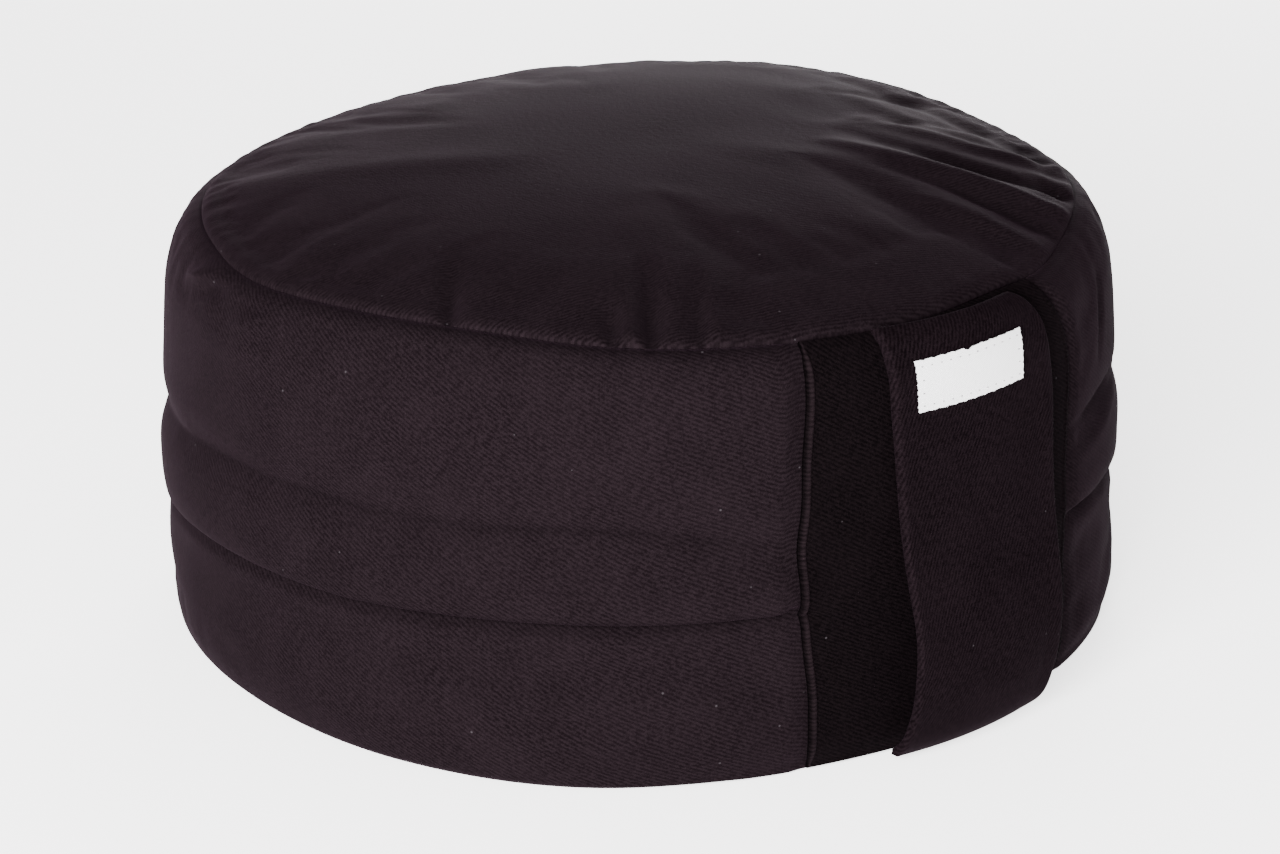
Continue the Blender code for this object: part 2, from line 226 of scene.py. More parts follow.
@dataclass(frozen=True)
class BodyForm:
    """The measured shape of the filled body, which the insert and the strap lie against."""

    seam_height: float = 0.1463
    seam_radius: float = 0.1525
    crown_rise: float = 0.0165
    crown_power: float = 2.8
    lip_rise: float = 0.0022
    lip_reach: float = 0.0030
    seam_draw: float = 0.0016
    seam_groove: float = 0.0011
    foot_radius: float = 0.1588
    foot_reach_fade: float = 0.035
    seam_wander_fade: float = 0.030
    insert_margin: float = 0.3
    insert_draw_width: float = 1.1
    fold_fade: float = 0.0024
    fold_steps: int = 25
    slope_step: float = 0.0010
    # How a crease of the band and a fold of the top swell along their lengths
    crease_ends: Span = (0.80, 0.10)
    fold_ends: Span = (0.85, 0.12)
    # The deep fold, as shares of its depth: its lip, the crease under it, the hollow below, the sharp
    # line in the crease, and how far the lip hangs down
    deep_lip: Ridge = Ridge(0.45, 0.0060, 0.0070)
    deep_crease: Ridge = Ridge(0.90, -0.0026, 0.0028)
    deep_hollow: Ridge = Ridge(0.12, -0.0100, 0.0090)
    deep_line: Ridge = Ridge(0.45, -0.0014, 0.0012)
    deep_drop: Ridge = Ridge(0.66, 0.0030, 0.0032)
    # The soft fold, as shares of its depth: the roll below it, its hollow, its line and its drop
    soft_roll: Ridge = Ridge(0.50, -0.0140, 0.0100)
    soft_hollow: Ridge = Ridge(0.80, 0.0, 0.0070)
    soft_line: Ridge = Ridge(0.20, 0.0, 0.0024)
    soft_drop: Ridge = Ridge(0.30, 0.0030, 0.0035)
    # The small gathers: depth, distance from the seam, reach, how each wave starts (a turn that grows with
    # its number, and the first one's), and how far from the seam the top's begin
    pucker_depth: float = 0.00010
    pucker_off: float = 0.0035
    pucker_reach: float = 0.0085
    pucker_turn: float = 1.7
    pucker_start: float = 0.6
    seam_calm: float = 0.0015

    # The band where it is plain: height, radius
    band_profile: Table = (
        (0.0028, 0.1628),
        (0.0085, 0.1650),
        (0.0220, 0.1654),
        (0.0450, 0.1654),
        (0.0620, 0.1662),
        (0.0800, 0.1660),
        (0.1000, 0.1650),
        (0.1180, 0.1638),
        (0.1310, 0.1620),
        (0.1395, 0.1592),
        (0.1440, 0.1558),
        (0.1463, 0.1525),
    )
    # Height of the bottom seam: bearing, height
    foot_seam: Table = (
        (-160, 0.0028),
        (-125, 0.0022),
        (-90, 0.0028),
        (-50, 0.0028),
        (-36, 0.0020),
        (-25, 0.0010),
        (-10, 0.0008),
        (40, 0.0008),
        (75, 0.0008),
        (110, 0.0028),
    )
    # How far the foot of the band stands out or in: bearing, distance
    foot_reach: Table = (
        (-124, 0.0016),
        (-105, 0.0004),
        (-90, 0.0004),
        (-68, 0.0022),
        (-45, 0.0028),
        (-29, -0.0014),
        (-20, -0.0036),
        (0, -0.0036),
        (17, -0.0030),
        (28, -0.0006),
        (42, 0.0024),
        (62, 0.0030),
        (100, 0.0005),
        (170, -0.0005),
    )
    # The top seam: bearing, distance out of its mean radius, distance above its mean height
    seam_wander: Table = (
        (-124, -0.0010, -0.0008),
        (-110, 0.0000, 0.0000),
        (-96, 0.0019, -0.0008),
        (-77, -0.0015, 0.0006),
        (-60, -0.0027, 0.0011),
        (-43, 0.0005, -0.0002),
        (-22, 0.0018, -0.0008),
        (-9, 0.0020, -0.0009),
        (10, 0.0000, 0.0000),
        (17, 0.0010, -0.0004),
        (29, -0.0014, 0.0010),
        (42, -0.0018, 0.0030),
        (60, -0.0018, 0.0010),
        (78, -0.0008, -0.0010),
        (103, 0.0000, 0.0022),
        (119, 0.0000, 0.0030),
        (136, 0.0000, 0.0012),
        (155, 0.0000, -0.0010),
        (175, -0.0003, -0.0036),
        (-158, -0.0005, -0.0048),
        (-143, -0.0008, -0.0034),
    )
    # The deep fold round the band: bearing, height of its lip, depth
    deep_fold: Table = (
        (-155, 0.0400, 0.0000),
        (-122, 0.0470, 0.0020),
        (-100, 0.0545, 0.0034),
        (-74, 0.0570, 0.0040),
        (-52, 0.0595, 0.0040),
        (-29, 0.0608, 0.0038),
        (-22, 0.0612, 0.0030),
        (-18, 0.0612, 0.0000),
        (17, 0.0625, 0.0000),
        (21, 0.0628, 0.0018),
        (30, 0.0615, 0.0018),
        (43, 0.0565, 0.0015),
        (72, 0.0500, 0.0012),
        (100, 0.0440, 0.0000),
        (160, 0.0400, 0.0000),
    )
    # The soft fold above it: bearing, height of its crease, depth
    soft_fold: Table = (
        (-178, 0.0720, 0.0000),
        (-152, 0.0740, 0.0018),
        (-122, 0.0785, 0.0022),
        (-96, 0.0855, 0.0024),
        (-62, 0.0880, 0.0026),
        (-38, 0.0885, 0.0024),
        (-30, 0.0855, 0.0019),
        (-24, 0.0832, 0.0013),
        (-19, 0.0830, 0.0000),
        (18, 0.0900, 0.0000),
        (26, 0.0910, 0.0018),
        (40, 0.0900, 0.0020),
        (72, 0.0860, 0.0018),
        (108, 0.0840, 0.0016),
        (140, 0.0800, 0.0000),
    )
    # The side insert: height, bearing of its left seam, of its right seam, how far it draws the body in
    insert_seams: Table = (
        (0.004, -20.3, 20.2, 0.0010),
        (0.030, -20.6, 20.2, 0.0016),
        (0.046, -21.4, 19.0, 0.0016),
        (0.064, -22.1, 18.1, 0.0016),
        (0.080, -22.4, 17.8, 0.0018),
        (0.096, -21.9, 18.4, 0.0020),
        (0.113, -21.7, 19.3, 0.0027),
        (0.122, -21.4, 19.2, 0.0031),
        (0.136, -21.2, 16.9, 0.0028),
        (0.150, -21.7, 13.0, 0.0006),
    )
    # The top panel's folds, in plan: start, middle and end as x and y, rise, half width
    top_folds: Table = (
        (0.087, -0.124, 0.070, -0.090, 0.054, -0.040, 0.0023, 0.0046),
        (0.101, -0.108, 0.081, -0.082, 0.067, -0.034, -0.0021, 0.0050),
        (0.124, -0.083, 0.100, -0.066, 0.084, -0.020, 0.0021, 0.0056),
        (0.069, -0.131, 0.060, -0.100, 0.050, -0.066, -0.0019, 0.0044),
        (0.056, -0.137, 0.048, -0.108, 0.037, -0.080, 0.0013, 0.0056),
        (0.042, -0.143, 0.037, -0.105, 0.036, -0.062, -0.0013, 0.0085),
        (0.105, -0.050, 0.103, -0.020, 0.105, 0.016, 0.0014, 0.0062),
        (0.111, -0.093, 0.123, -0.046, 0.121, 0.035, -0.0026, 0.0066),
        (0.097, -0.114, 0.098, -0.102, 0.098, -0.089, -0.0020, 0.0055),
        (-0.118, 0.077, -0.080, 0.045, -0.042, 0.013, 0.0011, 0.0110),
        (-0.041, 0.106, -0.024, 0.099, -0.008, 0.092, 0.0008, 0.0110),
        (-0.1420, -0.0768, -0.1290, -0.0616, -0.1140, -0.0440, -0.0030, 0.0030),
        (-0.1091, -0.1180, -0.1031, -0.1103, -0.0937, -0.0979, -0.0030, 0.0026),
        (-0.1031, -0.1207, -0.0954, -0.1110, -0.0866, -0.0990, 0.0019, 0.0032),
        (-0.1000, -0.1245, -0.0885, -0.1110, -0.0680, -0.0850, -0.0032, 0.0038),
        (-0.0880, -0.1330, -0.0737, -0.1155, -0.0600, -0.0980, -0.0016, 0.0036),
        (-0.0821, -0.1373, -0.0759, -0.1273, -0.0639, -0.1084, 0.0010, 0.0040),
    )
    # Small creases of the band: start and end as bearing and height, rise, half width
    band_creases: Table = (
        (-62, 0.0400, -28, 0.0385, -0.0010, 0.0040),
        (-62, 0.0305, -28, 0.0300, 0.0007, 0.0035),
        (-60, 0.0250, -27, 0.0245, -0.0008, 0.0030),
        (-60, 0.0180, -27, 0.0175, 0.0006, 0.0035),
        (-34, 0.1330, -32, 0.1000, -0.0014, 0.0120),
        (20, 0.0925, 42, 0.0950, -0.0014, 0.0018),
        (21, 0.0800, 46, 0.0900, 0.0009, 0.0032),
        (20, 0.0632, 40, 0.0590, -0.0012, 0.0016),
        (32.7, 0.1350, 29, 0.1080, -0.0014, 0.0028),
        (-152, 0.0165, -112, 0.0165, -0.0032, 0.0100),
        (-108, 0.1385, -100, 0.1450, 0.0030, 0.0022),
        (-104, 0.1350, -97, 0.1420, -0.0024, 0.0020),
        (-93, 0.1345, -87, 0.1395, 0.0014, 0.0028),
    )
    # Puckers that cross the seam: waves round the body, share of the pucker's depth
    pucker_waves: Table = ((37, 0.8), (59, 1.0), (83, 0.9), (101, 0.6), (127, 0.5))

    def seam_level(self, bearing: Array) -> Array:
        """Returns the height of the top seam at each bearing."""
        return self.seam_height + round_column(self.seam_wander, bearing, 2)

    def seam_out(self, bearing: Array) -> Array:
        """Returns the radius of the top seam at each bearing."""
        return self.seam_radius + round_column(self.seam_wander, bearing)

    def insert_share(self, bearing: Array, height: Array) -> Array:
        """Tells where the side insert lies.

        Args:
            bearing: Degrees round the body.
            height: Distance above the floor.

        Returns:
            1 behind the insert, falling to 0 just outside its seams.
        """
        bearing = wrapped(bearing)
        left = column(self.insert_seams, height, 1)
        right = column(self.insert_seams, height, 2)
        inside = np.minimum(bearing - left, right - bearing)
        return step_up(inside + self.insert_margin + self.insert_draw_width, self.insert_draw_width)

    def side_radius(self, bearing: Array, height: Array) -> Array:
        """Gives the band's main form.

        Args:
            bearing: Degrees round the body.
            height: Distance above the floor.

        Returns:
            The band's distance from the axis.
        """
        level = height * self.seam_height / self.seam_level(bearing)
        radius = column(self.band_profile, level)
        radius = radius + round_column(self.foot_reach, bearing) * bell(height, self.foot_reach_fade)
        below_seam = self.seam_height - level
        radius = radius + round_column(self.seam_wander, bearing) * bell(below_seam, self.seam_wander_fade)
        above = height - round_column(self.deep_fold, bearing)
        depth = np.maximum(round_column(self.deep_fold, bearing, 2), 0)
        crease = self.deep_crease.at(above) + self.deep_hollow.at(above)
        radius = radius + depth * (self.deep_lip.at(above) - crease)
        above = height - round_column(self.soft_fold, bearing)
        depth = np.maximum(round_column(self.soft_fold, bearing, 2), 0)
        radius = radius + depth * (self.soft_roll.at(above) - self.soft_hollow.at(above))
        return radius - column(self.insert_seams, height, 3) * self.insert_share(bearing, height)

    def creased(self, bearing: Array, height: Array) -> Array:
        """Adds up the band's small creases.

        Args:
            bearing: Degrees round the body.
            height: Distance above the floor.

        Returns:
            How far the creases move the band outwards.
        """
        scale = math.radians(1) * self.foot_radius
        arc = wrapped(bearing) * scale
        lift = np.zeros(np.shape(arc))
        for b0, z0, b1, z1, rise, half_width in self.band_creases:
            line = np.array([(b0 * scale, z0), (b1 * scale, z1)])
            away, share = near_line(arc, height, line)
            lift += rise * swell_along(share, self.crease_ends) * bell(away, half_width)
        return lift

    def pucker(self, bearing: Array, to_seam: Array) -> Array:
        """Gives the small gathers that cross the top seam.

        Args:
            bearing: Degrees round the body.
            to_seam: Distance from the seam.

        Returns:
            How far the gathers lift the cloth.
        """
        angle = np.radians(bearing)
        wave = np.zeros(np.shape(angle))
        for number, (count, share) in enumerate(self.pucker_waves):
            turn = self.pucker_turn * number * number
            wave += share * np.sin(count * angle + turn + self.pucker_start)
        return self.pucker_depth * wave * bell(to_seam - self.pucker_off, self.pucker_reach)

    def band_points(self, bearing: Array, height: Array) -> Array:
        """Places the band's cloth, with its small creases and the fold's overhanging lip.

        Args:
            bearing: Degrees round the body.
            height: Distance above the floor, before the lip hangs down.

        Returns:
            Points as rows of x, y and z.
        """
        free = 1 - self.insert_share(bearing, height)
        above = height - round_column(self.deep_fold, bearing)
        depth = np.maximum(round_column(self.deep_fold, bearing, 2), 0) * free
        radius = self.side_radius(bearing, height) + free * self.creased(bearing, height)
        radius = radius - self.deep_line.at(above, depth)
        to_seam = np.maximum(self.seam_level(bearing) - height, 0)
        radius = radius + free * self.pucker(bearing, to_seam)
        radius = radius - self.seam_draw * bell(to_seam, self.seam_groove)
        drop = self.deep_drop.at(above, depth)
        above = height - round_column(self.soft_fold, bearing)
        depth = np.maximum(round_column(self.soft_fold, bearing, 2), 0) * free
        radius = radius - self.soft_line.at(above, depth)
        drop = drop + self.soft_drop.at(above, depth)
        return polar(bearing, radius, height - drop)

    def fold_lift(self, x: Array, y: Array) -> Array:
        """Adds up the top panel's folds.

        Args:
            x: Place in plan.
            y: Place in plan.

        Returns:
            How far the folds lift the top panel.
        """
        t = np.linspace(0, 1, self.fold_steps)[:, None]
        lift = np.zeros_like(x)
        for x0, y0, x1, y1, x2, y2, rise, half_width in self.top_folds:
            start, end = np.array((x0, y0)), np.array((x2, y2))
            bend = 2 * np.array((x1, y1)) - (start + end) / 2
            line = (1 - t) ** 2 * start + 2 * t * (1 - t) * bend + t * t * end
            away, share = near_line(x, y, line)
            strength = np.sqrt(swell_along(share, self.fold_ends))
            lift += rise * strength * bell(away, half_width)
        return lift

    def top_points(self, bearing: Array, share: Array) -> Array:
        """Places the top panel's cloth.

        Args:
            bearing: Degrees round the body.
            share: Share of the way from the centre to the seam.

        Returns:
            Points as rows of x, y and z.
        """
        seam = self.seam_out(bearing)
        to_seam = (1 - share) * seam
        draw = self.seam_draw * bell(to_seam, self.seam_groove)
        plan = polar(bearing, share * seam - draw, 0.0)
        wander = (self.seam_level(bearing) - self.seam_height) * share**2
        rise = self.crown_rise * (1 - share**self.crown_power)
        rise = rise + self.lip_rise * (1 - bell(to_seam, self.lip_reach))
        lift = self.fold_lift(plan[..., 0], plan[..., 1]) * (1 - bell(to_seam, self.fold_fade))
        lift = lift + self.pucker(bearing, to_seam) * step_up(to_seam - self.seam_calm, self.seam_calm)
        plan[..., 2] = self.seam_height + wander + rise + lift - draw / 2
        return plan


class Bench:
    """Blender's modelling operators, used as by hand on one object at a time."""

    @staticmethod
    def pick(piece: bpy.types.Object) -> None:
        """Selects one object alone and makes it the active one.

        Args:
            piece: The object.
        """
        bpy.ops.object.select_all(action="DESELECT")
        piece.select_set(True)
        bpy.context.view_layer.objects.active = piece

    @staticmethod
    def cloth(name: str, columns: int, rows: int) -> bpy.types.Object:
        """Lays out a flat grid of cloth, one unit square, to be shaped into a piece.

        Args:
            name: The piece's name.
            columns: Faces across.
            rows: Faces along.

        Returns:
            The new object.
        """
        bpy.ops.object.select_all(action="DESELECT")
        bpy.ops.mesh.primitive_grid_add(x_subdivisions=columns, y_subdivisions=rows, size=1.0)
        piece = bpy.context.active_object
        piece.name = name
        piece.data.name = name
        return piece

    @staticmethod
    def shares(piece: bpy.types.Object) -> tuple[Array, Array]:
        """Returns each point's share of the way across and along the flat cloth."""
        flat = Bench.points(piece)
        return flat[:, 0] + 0.5, flat[:, 1] + 0.5

    @staticmethod
    def points(piece: bpy.types.Object) -> Array:
        """Reads the piece's points.

        Args:
            piece: The piece.

        Returns:
            Its points as rows of x, y and z.
        """
        found = np.empty(len(piece.data.vertices) * 3, np.float64)
        piece.data.vertices.foreach_get("co", found)
        return found.reshape(-1, 3)

    @staticmethod
    def move(piece: bpy.types.Object, points: Array) -> None:
        """Moves the piece's points to new places."""
        piece.data.vertices.foreach_set("co", np.ascontiguousarray(points, np.float32).ravel())
        piece.data.update()

    @staticmethod
    def lay_weave(piece: bpy.types.Object, places: Array) -> None:
        """Writes where each face corner lies on its own flat cloth, in metres.

        Args:
            piece: The piece, still as a grid of quads.
            places: One place for each point, or one for each face corner.
        """
        mesh = piece.data
        while mesh.uv_layers:
            mesh.uv_layers.remove(mesh.uv_layers[0])
        layer = mesh.uv_layers.new(name=WEAVE_MAP)
        if len(places) != len(mesh.loops):
            places = places[Bench.corners(piece)]
        layer.uv.foreach_set("vector", np.ascontiguousarray(places, np.float32).ravel())

    @staticmethod
    def paint_light_and_shade(piece: bpy.types.Object, painted_light_and_shade: Array) -> None:
        """Writes painted light and shade at each point: up to 1 where a highlight is painted, down to -1
        where shade is painted in seams and folds.
        """
        layer = piece.data.attributes.new(PAINTED_LIGHT_LAYER, "FLOAT", "POINT")
        layer.data.foreach_set("value", np.ascontiguousarray(np.clip(painted_light_and_shade, -1, 1), np.float32))

    @staticmethod
    def corners(piece: bpy.types.Object) -> Array:
        """Reads which point each face corner stands on.

        Args:
            piece: The piece.

        Returns:
            The number of each corner's point.
        """
        found = np.empty(len(piece.data.loops), np.int32)
        piece.data.loops.foreach_get("vertex_index", found)
        return found

    @staticmethod
    def close(piece: bpy.types.Object) -> None:
        """Merges points that meet, drops what collapsed, and turns every face outwards.

        Args:
            piece: The piece.
        """
        Bench.pick(piece)
        bpy.ops.object.mode_set(mode="EDIT")
        bpy.ops.mesh.select_all(action="SELECT")
        bpy.ops.mesh.remove_doubles(threshold=MERGE_DISTANCE)
        bpy.ops.mesh.dissolve_degenerate(threshold=COLLAPSED_EDGE)
        bpy.ops.mesh.select_all(action="SELECT")
        bpy.ops.mesh.normals_make_consistent(inside=False)
        bpy.ops.object.mode_set(mode="OBJECT")

    @staticmethod
    def finish(piece: bpy.types.Object, angle: float = 180.0) -> None:
        """Applies the piece's modifiers in order and shades it smooth.

        Args:
            piece: The piece.
            angle: Edges that turn more than this, in degrees, stay sharp.
        """
        Bench.pick(piece)
        for modifier in list(piece.modifiers):
            bpy.ops.object.modifier_apply(modifier=modifier.name)
        bpy.ops.object.shade_smooth_by_angle(angle=math.radians(angle))


class Nodes:
    """A short way to wire the nodes of one material."""

    def __init__(self, name: str) -> None:
        """Starts a material with a Principled shader.

        Args:
            name: The material's name.
        """
        self.material = bpy.data.materials.new(name)
        self.material.use_nodes = True
        self.tree = self.material.node_tree
        self.shader = self.tree.nodes["Principled BSDF"]

    def feed(self, socket: bpy.types.NodeSocket, value: object) -> None:
        """Gives a socket a value, or links another node's output to it.

        Args:
            socket: The input socket.
            value: The value, or the other node's output.
        """
        if isinstance(value, bpy.types.NodeSocket):
            self.tree.links.new(value, socket)
        else:
            socket.default_value = value

    def add(self, kind: str, inputs: dict, output: int | str = 0, **settings: object) -> bpy.types.NodeSocket:
        """Adds a node.

        Args:
            kind: The node's type.
            inputs: Values or links for its sockets, by name or number.
            output: Which output is returned.
            settings: Values for the node's own settings.

        Returns:
            The node's output socket.
        """
        node = self.tree.nodes.new(kind)
        for setting, value in settings.items():
            setattr(node, setting, value)
        for key, value in inputs.items():
            self.feed(node.inputs[key], value)
        return node.outputs[output]

    def math(self, operation: str, a: object, b: object = 0.0, c: object = 0.0) -> bpy.types.NodeSocket:
        """Adds a Math node with up to three inputs and returns its output."""
        return self.add("ShaderNodeMath", {0: a, 1: b, 2: c}, operation=operation)

    def mix(self, share: object, a: object, b: object, blend: str = "MIX") -> bpy.types.NodeSocket:
        """Mixes two colours.

        Args:
            share: Share of the second colour.
            a: First colour, as red, green, blue, or a link.
            b: Second colour, as red, green, blue, or a link.
            blend: How they are mixed.

        Returns:
            The mixed colour.
        """
        inputs = {"Factor": share, 6: opaque(a), 7: opaque(b)}
        return self.add("ShaderNodeMix", inputs, 2, data_type="RGBA", blend_type=blend)

    def noise(self, where: object, scale: float, detail: float = 2.0) -> bpy.types.NodeSocket:
        """Adds a Noise texture of that many blobs a metre and returns its value."""
        return self.add("ShaderNodeTexNoise", {"Vector": where, "Scale": scale, "Detail": detail})

    def spread(self, value: object, span: Span, to: Span) -> bpy.types.NodeSocket:
        """Maps a range of values onto another, held at its ends.

        Args:
            value: The value.
            span: Where the range starts and ends.
            to: The values at its two ends.

        Returns:
            The mapped value.
        """
        inputs = {0: value, 1: span[0], 2: span[1], 3: to[0], 4: to[1]}
        return self.add("ShaderNodeMapRange", inputs, interpolation_type="SMOOTHSTEP")


def opaque(colour: object) -> object:
    """Returns a colour of three numbers with its alpha, and a link as it is."""
    return (*colour, 1.0) if isinstance(colour, tuple) else colour


def times(colour: Colour, gain: float) -> Colour:
    """Returns a colour that is lighter or darker by a factor."""
    return tuple(gain * c for c in colour)


@dataclass(frozen=True)
class TwillFinish:
    """Cotton twill: slanting wales of raised yarn, a soft sheen, and a little lint.

    Angles are in degrees from the piece's own across direction, lengths in metres.
    """

    name: str
    groove: Colour
    yarn: Colour
    wale_pitch: float = 0.00130
    wale_angle: float = -60.0
    wale_waver: float = 0.14
    waver_scale: float = 70.0
    relief: float = 0.00010
    roughness: float = 0.9
    sheen: float = 0.0085
    sheen_roughness: float = 0.45
    sheen_tint: Colour = (1.0, 0.58, 0.84)
    gloss: float = 0.005
    # Short floats of yarn and loose fibre: size against the wales, blobs a metre, share of the relief
    float_scale: tuple[float, float, float] = (1.3, 0.60, 1.0)
    float_share: float = 0.34
    fibre_scale: float = 1500.0
    fibre_share: float = 0.32
    noise_range: Span = (0.30, 0.70)
    # The range of the relief over which the colour goes from groove to yarn
    shade_range: Span = (0.15, 0.85)
    # Paler and darker clouds: share at most, blobs a metre, range of the noise that shows
    mottling: float = 0.13
    pale_scale: float = 60.0
    pale_range: Span = (0.35, 0.70)
    pale_gain: float = 1.5
    dark_scale: float = 75.0
    dark_range: Span = (0.40, 0.72)
    dark_shift: tuple[float, float, float] = (3.1, 1.7, 0.4)
    # Painted highlight where the painted light layer is above 0, most on the raised yarns, and painted shade
    # where it is below
    highlight_gain: float = 2.6
    highlight_base: float = 0.35
    painted_shade_gain: float = 0.3
    # Lint: colour, metres between flecks, size as a share of that, strength
    lint_colour: Colour = (0.022, 0.019, 0.021)
    lint_spacing: float = 0.0110
    lint_size: float = 0.045
    lint_strength: float = 0.75
    # Bumps: strength of the weave's, then blobs a metre, height and strength of the slubs
    relief_strength: float = 0.9
    slub_scale: float = 330.0
    slub_relief: float = 0.0002
    slub_strength: float = 0.5

    def wales(self, nodes: Nodes, cloth: bpy.types.NodeSocket) -> bpy.types.NodeSocket:
        """Wires the raised yarns.

        Args:
            nodes: The material's nodes.
            cloth: Place on the flat cloth.

        Returns:
            The height of the yarns, from 0 to 1.
        """
        size = 1 / self.wale_pitch
        turned = nodes.add(
            "ShaderNodeMapping",
            {"Vector": cloth, "Rotation": (0, 0, math.radians(self.wale_angle)), "Scale": (size, size, size)},
            vector_type="POINT",
        )
        tree = nodes.tree
        parts = tree.nodes.new("ShaderNodeSeparateXYZ")
        tree.links.new(turned, parts.inputs[0])
        waver = nodes.noise(cloth, self.waver_scale, detail=1.0)
        across = nodes.math("MULTIPLY_ADD", waver, self.wale_waver * 2, parts.outputs["X"])
        ridge = nodes.math("SINE", nodes.math("MULTIPLY", across, math.tau))
        ridge = nodes.math("MULTIPLY_ADD", ridge, 0.5, 0.5)
        # Short floats of yarn along the wales, and loose fibre over all
        along = nodes.add("ShaderNodeMapping", {"Vector": turned, "Scale": self.float_scale})
        floats = nodes.spread(nodes.noise(along, 1.0), self.noise_range, (0.0, self.float_share))
        fibre = nodes.noise(cloth, self.fibre_scale)
        fibre = nodes.spread(fibre, self.noise_range, (0.0, self.fibre_share))
        rest = 1 - self.float_share - self.fibre_share
        return nodes.math("MULTIPLY_ADD", ridge, rest, nodes.math("ADD", floats, fibre))

    def build(self) -> bpy.types.Material:
        """Makes the material.

        Returns:
            The new material.
        """
        nodes = Nodes(self.name)
        cloth = nodes.add("ShaderNodeUVMap", {}, uv_map=WEAVE_MAP)
        place = nodes.add("ShaderNodeTexCoord", {}, "Object")
        height = self.wales(nodes, cloth)
        shade = nodes.mix(nodes.spread(height, self.shade_range, (0.0, 1.0)), self.groove, self.yarn)
        pale = nodes.noise(place, self.pale_scale, detail=5.0)
        pale = nodes.spread(pale, self.pale_range, (0.0, self.mottling))
        tone_and_painted_light = nodes.mix(pale, shade, times(self.yarn, self.pale_gain))
        shifted = nodes.add("ShaderNodeMapping", {"Vector": place, "Location": self.dark_shift})
        dark = nodes.noise(shifted, self.dark_scale, detail=4.0)
        dark = nodes.spread(dark, self.dark_range, (0.0, self.mottling))
        tone_and_painted_light = nodes.mix(dark, tone_and_painted_light, self.groove)
        # Painted highlight and painted shade, read from the piece's layer of painted light
        painted_light = nodes.add("ShaderNodeAttribute", {}, "Fac", attribute_name=PAINTED_LIGHT_LAYER)
        painted_shade = nodes.math("MAXIMUM", nodes.math("MULTIPLY", painted_light, -1.0), 0.0)
        proud = nodes.math("ADD", height, self.highlight_base)
        raised = nodes.math("MULTIPLY", nodes.math("MAXIMUM", painted_light, 0.0), proud)
        tone_and_painted_light = nodes.mix(raised, tone_and_painted_light, times(self.yarn, self.highlight_gain))
        tone_and_painted_light = nodes.mix(painted_shade, tone_and_painted_light, times(self.groove, self.painted_shade_gain))
        lint = nodes.add(
            "ShaderNodeTexVoronoi",
            {"Vector": place, "Scale": 1 / self.lint_spacing, "Randomness": 1.0},
            "Distance",
        )
        fleck = nodes.spread(lint, (self.lint_size * 0.5, self.lint_size), (self.lint_strength, 0.0))
        colour = nodes.mix(fleck, tone_and_painted_light, self.lint_colour)
        nodes.feed(nodes.shader.inputs["Base Color"], colour)
        weave = {"Strength": self.relief_strength, "Distance": self.relief, "Height": height}
        bump = nodes.add("ShaderNodeBump", weave)
        slub = nodes.noise(cloth, self.slub_scale, detail=3.0)
        slubs = {"Strength": self.slub_strength, "Distance": self.slub_relief, "Height": slub}
        bump = nodes.add("ShaderNodeBump", {**slubs, "Normal": bump})
        nodes.feed(nodes.shader.inputs["Normal"], bump)
        nodes.feed(nodes.shader.inputs["Roughness"], self.roughness)
        nodes.feed(nodes.shader.inputs["Sheen Weight"], self.sheen)
        nodes.feed(nodes.shader.inputs["Sheen Roughness"], self.sheen_roughness)
        nodes.feed(nodes.shader.inputs["Sheen Tint"], opaque(self.sheen_tint))
        nodes.feed(nodes.shader.inputs["Specular IOR Level"], self.gloss)
        return nodes.material


@dataclass(frozen=True)
class TapeFinish:
    """White woven label tape: fine ribs across, small gaps between them."""

    name: str = "label_tape_finish"
    white: Colour = (0.62, 0.615, 0.62)
    shade: Colour = (0.44, 0.435, 0.45)
    rib_pitch: float = 0.00055
    yarn_rate: float = 0.8
    gap_range: Span = (0.0, 0.6)
    gap_share: float = 0.5
    relief: float = 0.0001
    relief_strength: float = 0.6
    roughness: float = 0.65
    sheen: float = 0.15

    def build(self) -> bpy.types.Material:
        """Makes the material.

        Returns:
            The new material.
        """
        nodes = Nodes(self.name)
        cloth = nodes.add("ShaderNodeUVMap", {}, uv_map=WEAVE_MAP)
        parts = nodes.tree.nodes.new("ShaderNodeSeparateXYZ")
        nodes.tree.links.new(cloth, parts.inputs[0])
        turn = math.tau / self.rib_pitch
        ribs = nodes.math("SINE", nodes.math("MULTIPLY", parts.outputs["Y"], turn))
        yarns = nodes.math("SINE", nodes.math("MULTIPLY", parts.outputs["X"], turn * self.yarn_rate))
        height = nodes.math("MULTIPLY_ADD", nodes.math("MULTIPLY", ribs, yarns), 0.5, 0.5)
        gaps = nodes.spread(height, self.gap_range, (self.gap_share, 0.0))
        colour = nodes.mix(gaps, self.white, self.shade)
        nodes.feed(nodes.shader.inputs["Base Color"], colour)
        weave = {"Strength": self.relief_strength, "Distance": self.relief, "Height": height}
        nodes.feed(nodes.shader.inputs["Normal"], nodes.add("ShaderNodeBump", weave))
        nodes.feed(nodes.shader.inputs["Roughness"], self.roughness)
        nodes.feed(nodes.shader.inputs["Sheen Weight"], self.sheen)
        return nodes.material


@dataclass(frozen=True)
class ThreadFinish:
    """Grey sewing thread, seen where it dips into the label."""

    name: str = "label_thread"
    grey: Colour = (0.30, 0.28, 0.29)
    ply_scale: float = 125.0
    ply_shade: float = 0.6
    ply_waver: float = 0.5
    roughness: float = 0.6

    def build(self) -> bpy.types.Material:
        """Makes the material.

        Returns:
            The new material.
        """
        nodes = Nodes(self.name)
        place = nodes.add("ShaderNodeTexCoord", {}, "Object")
        ply = nodes.add(
            "ShaderNodeTexWave",
            {"Vector": place, "Scale": self.ply_scale, "Distortion": self.ply_waver},
            1,
            bands_direction="DIAGONAL",
        )
        colour = nodes.mix(ply, self.grey, times(self.grey, self.ply_shade))
        nodes.feed(nodes.shader.inputs["Base Color"], colour)
        nodes.feed(nodes.shader.inputs["Roughness"], self.roughness)
        return nodes.material


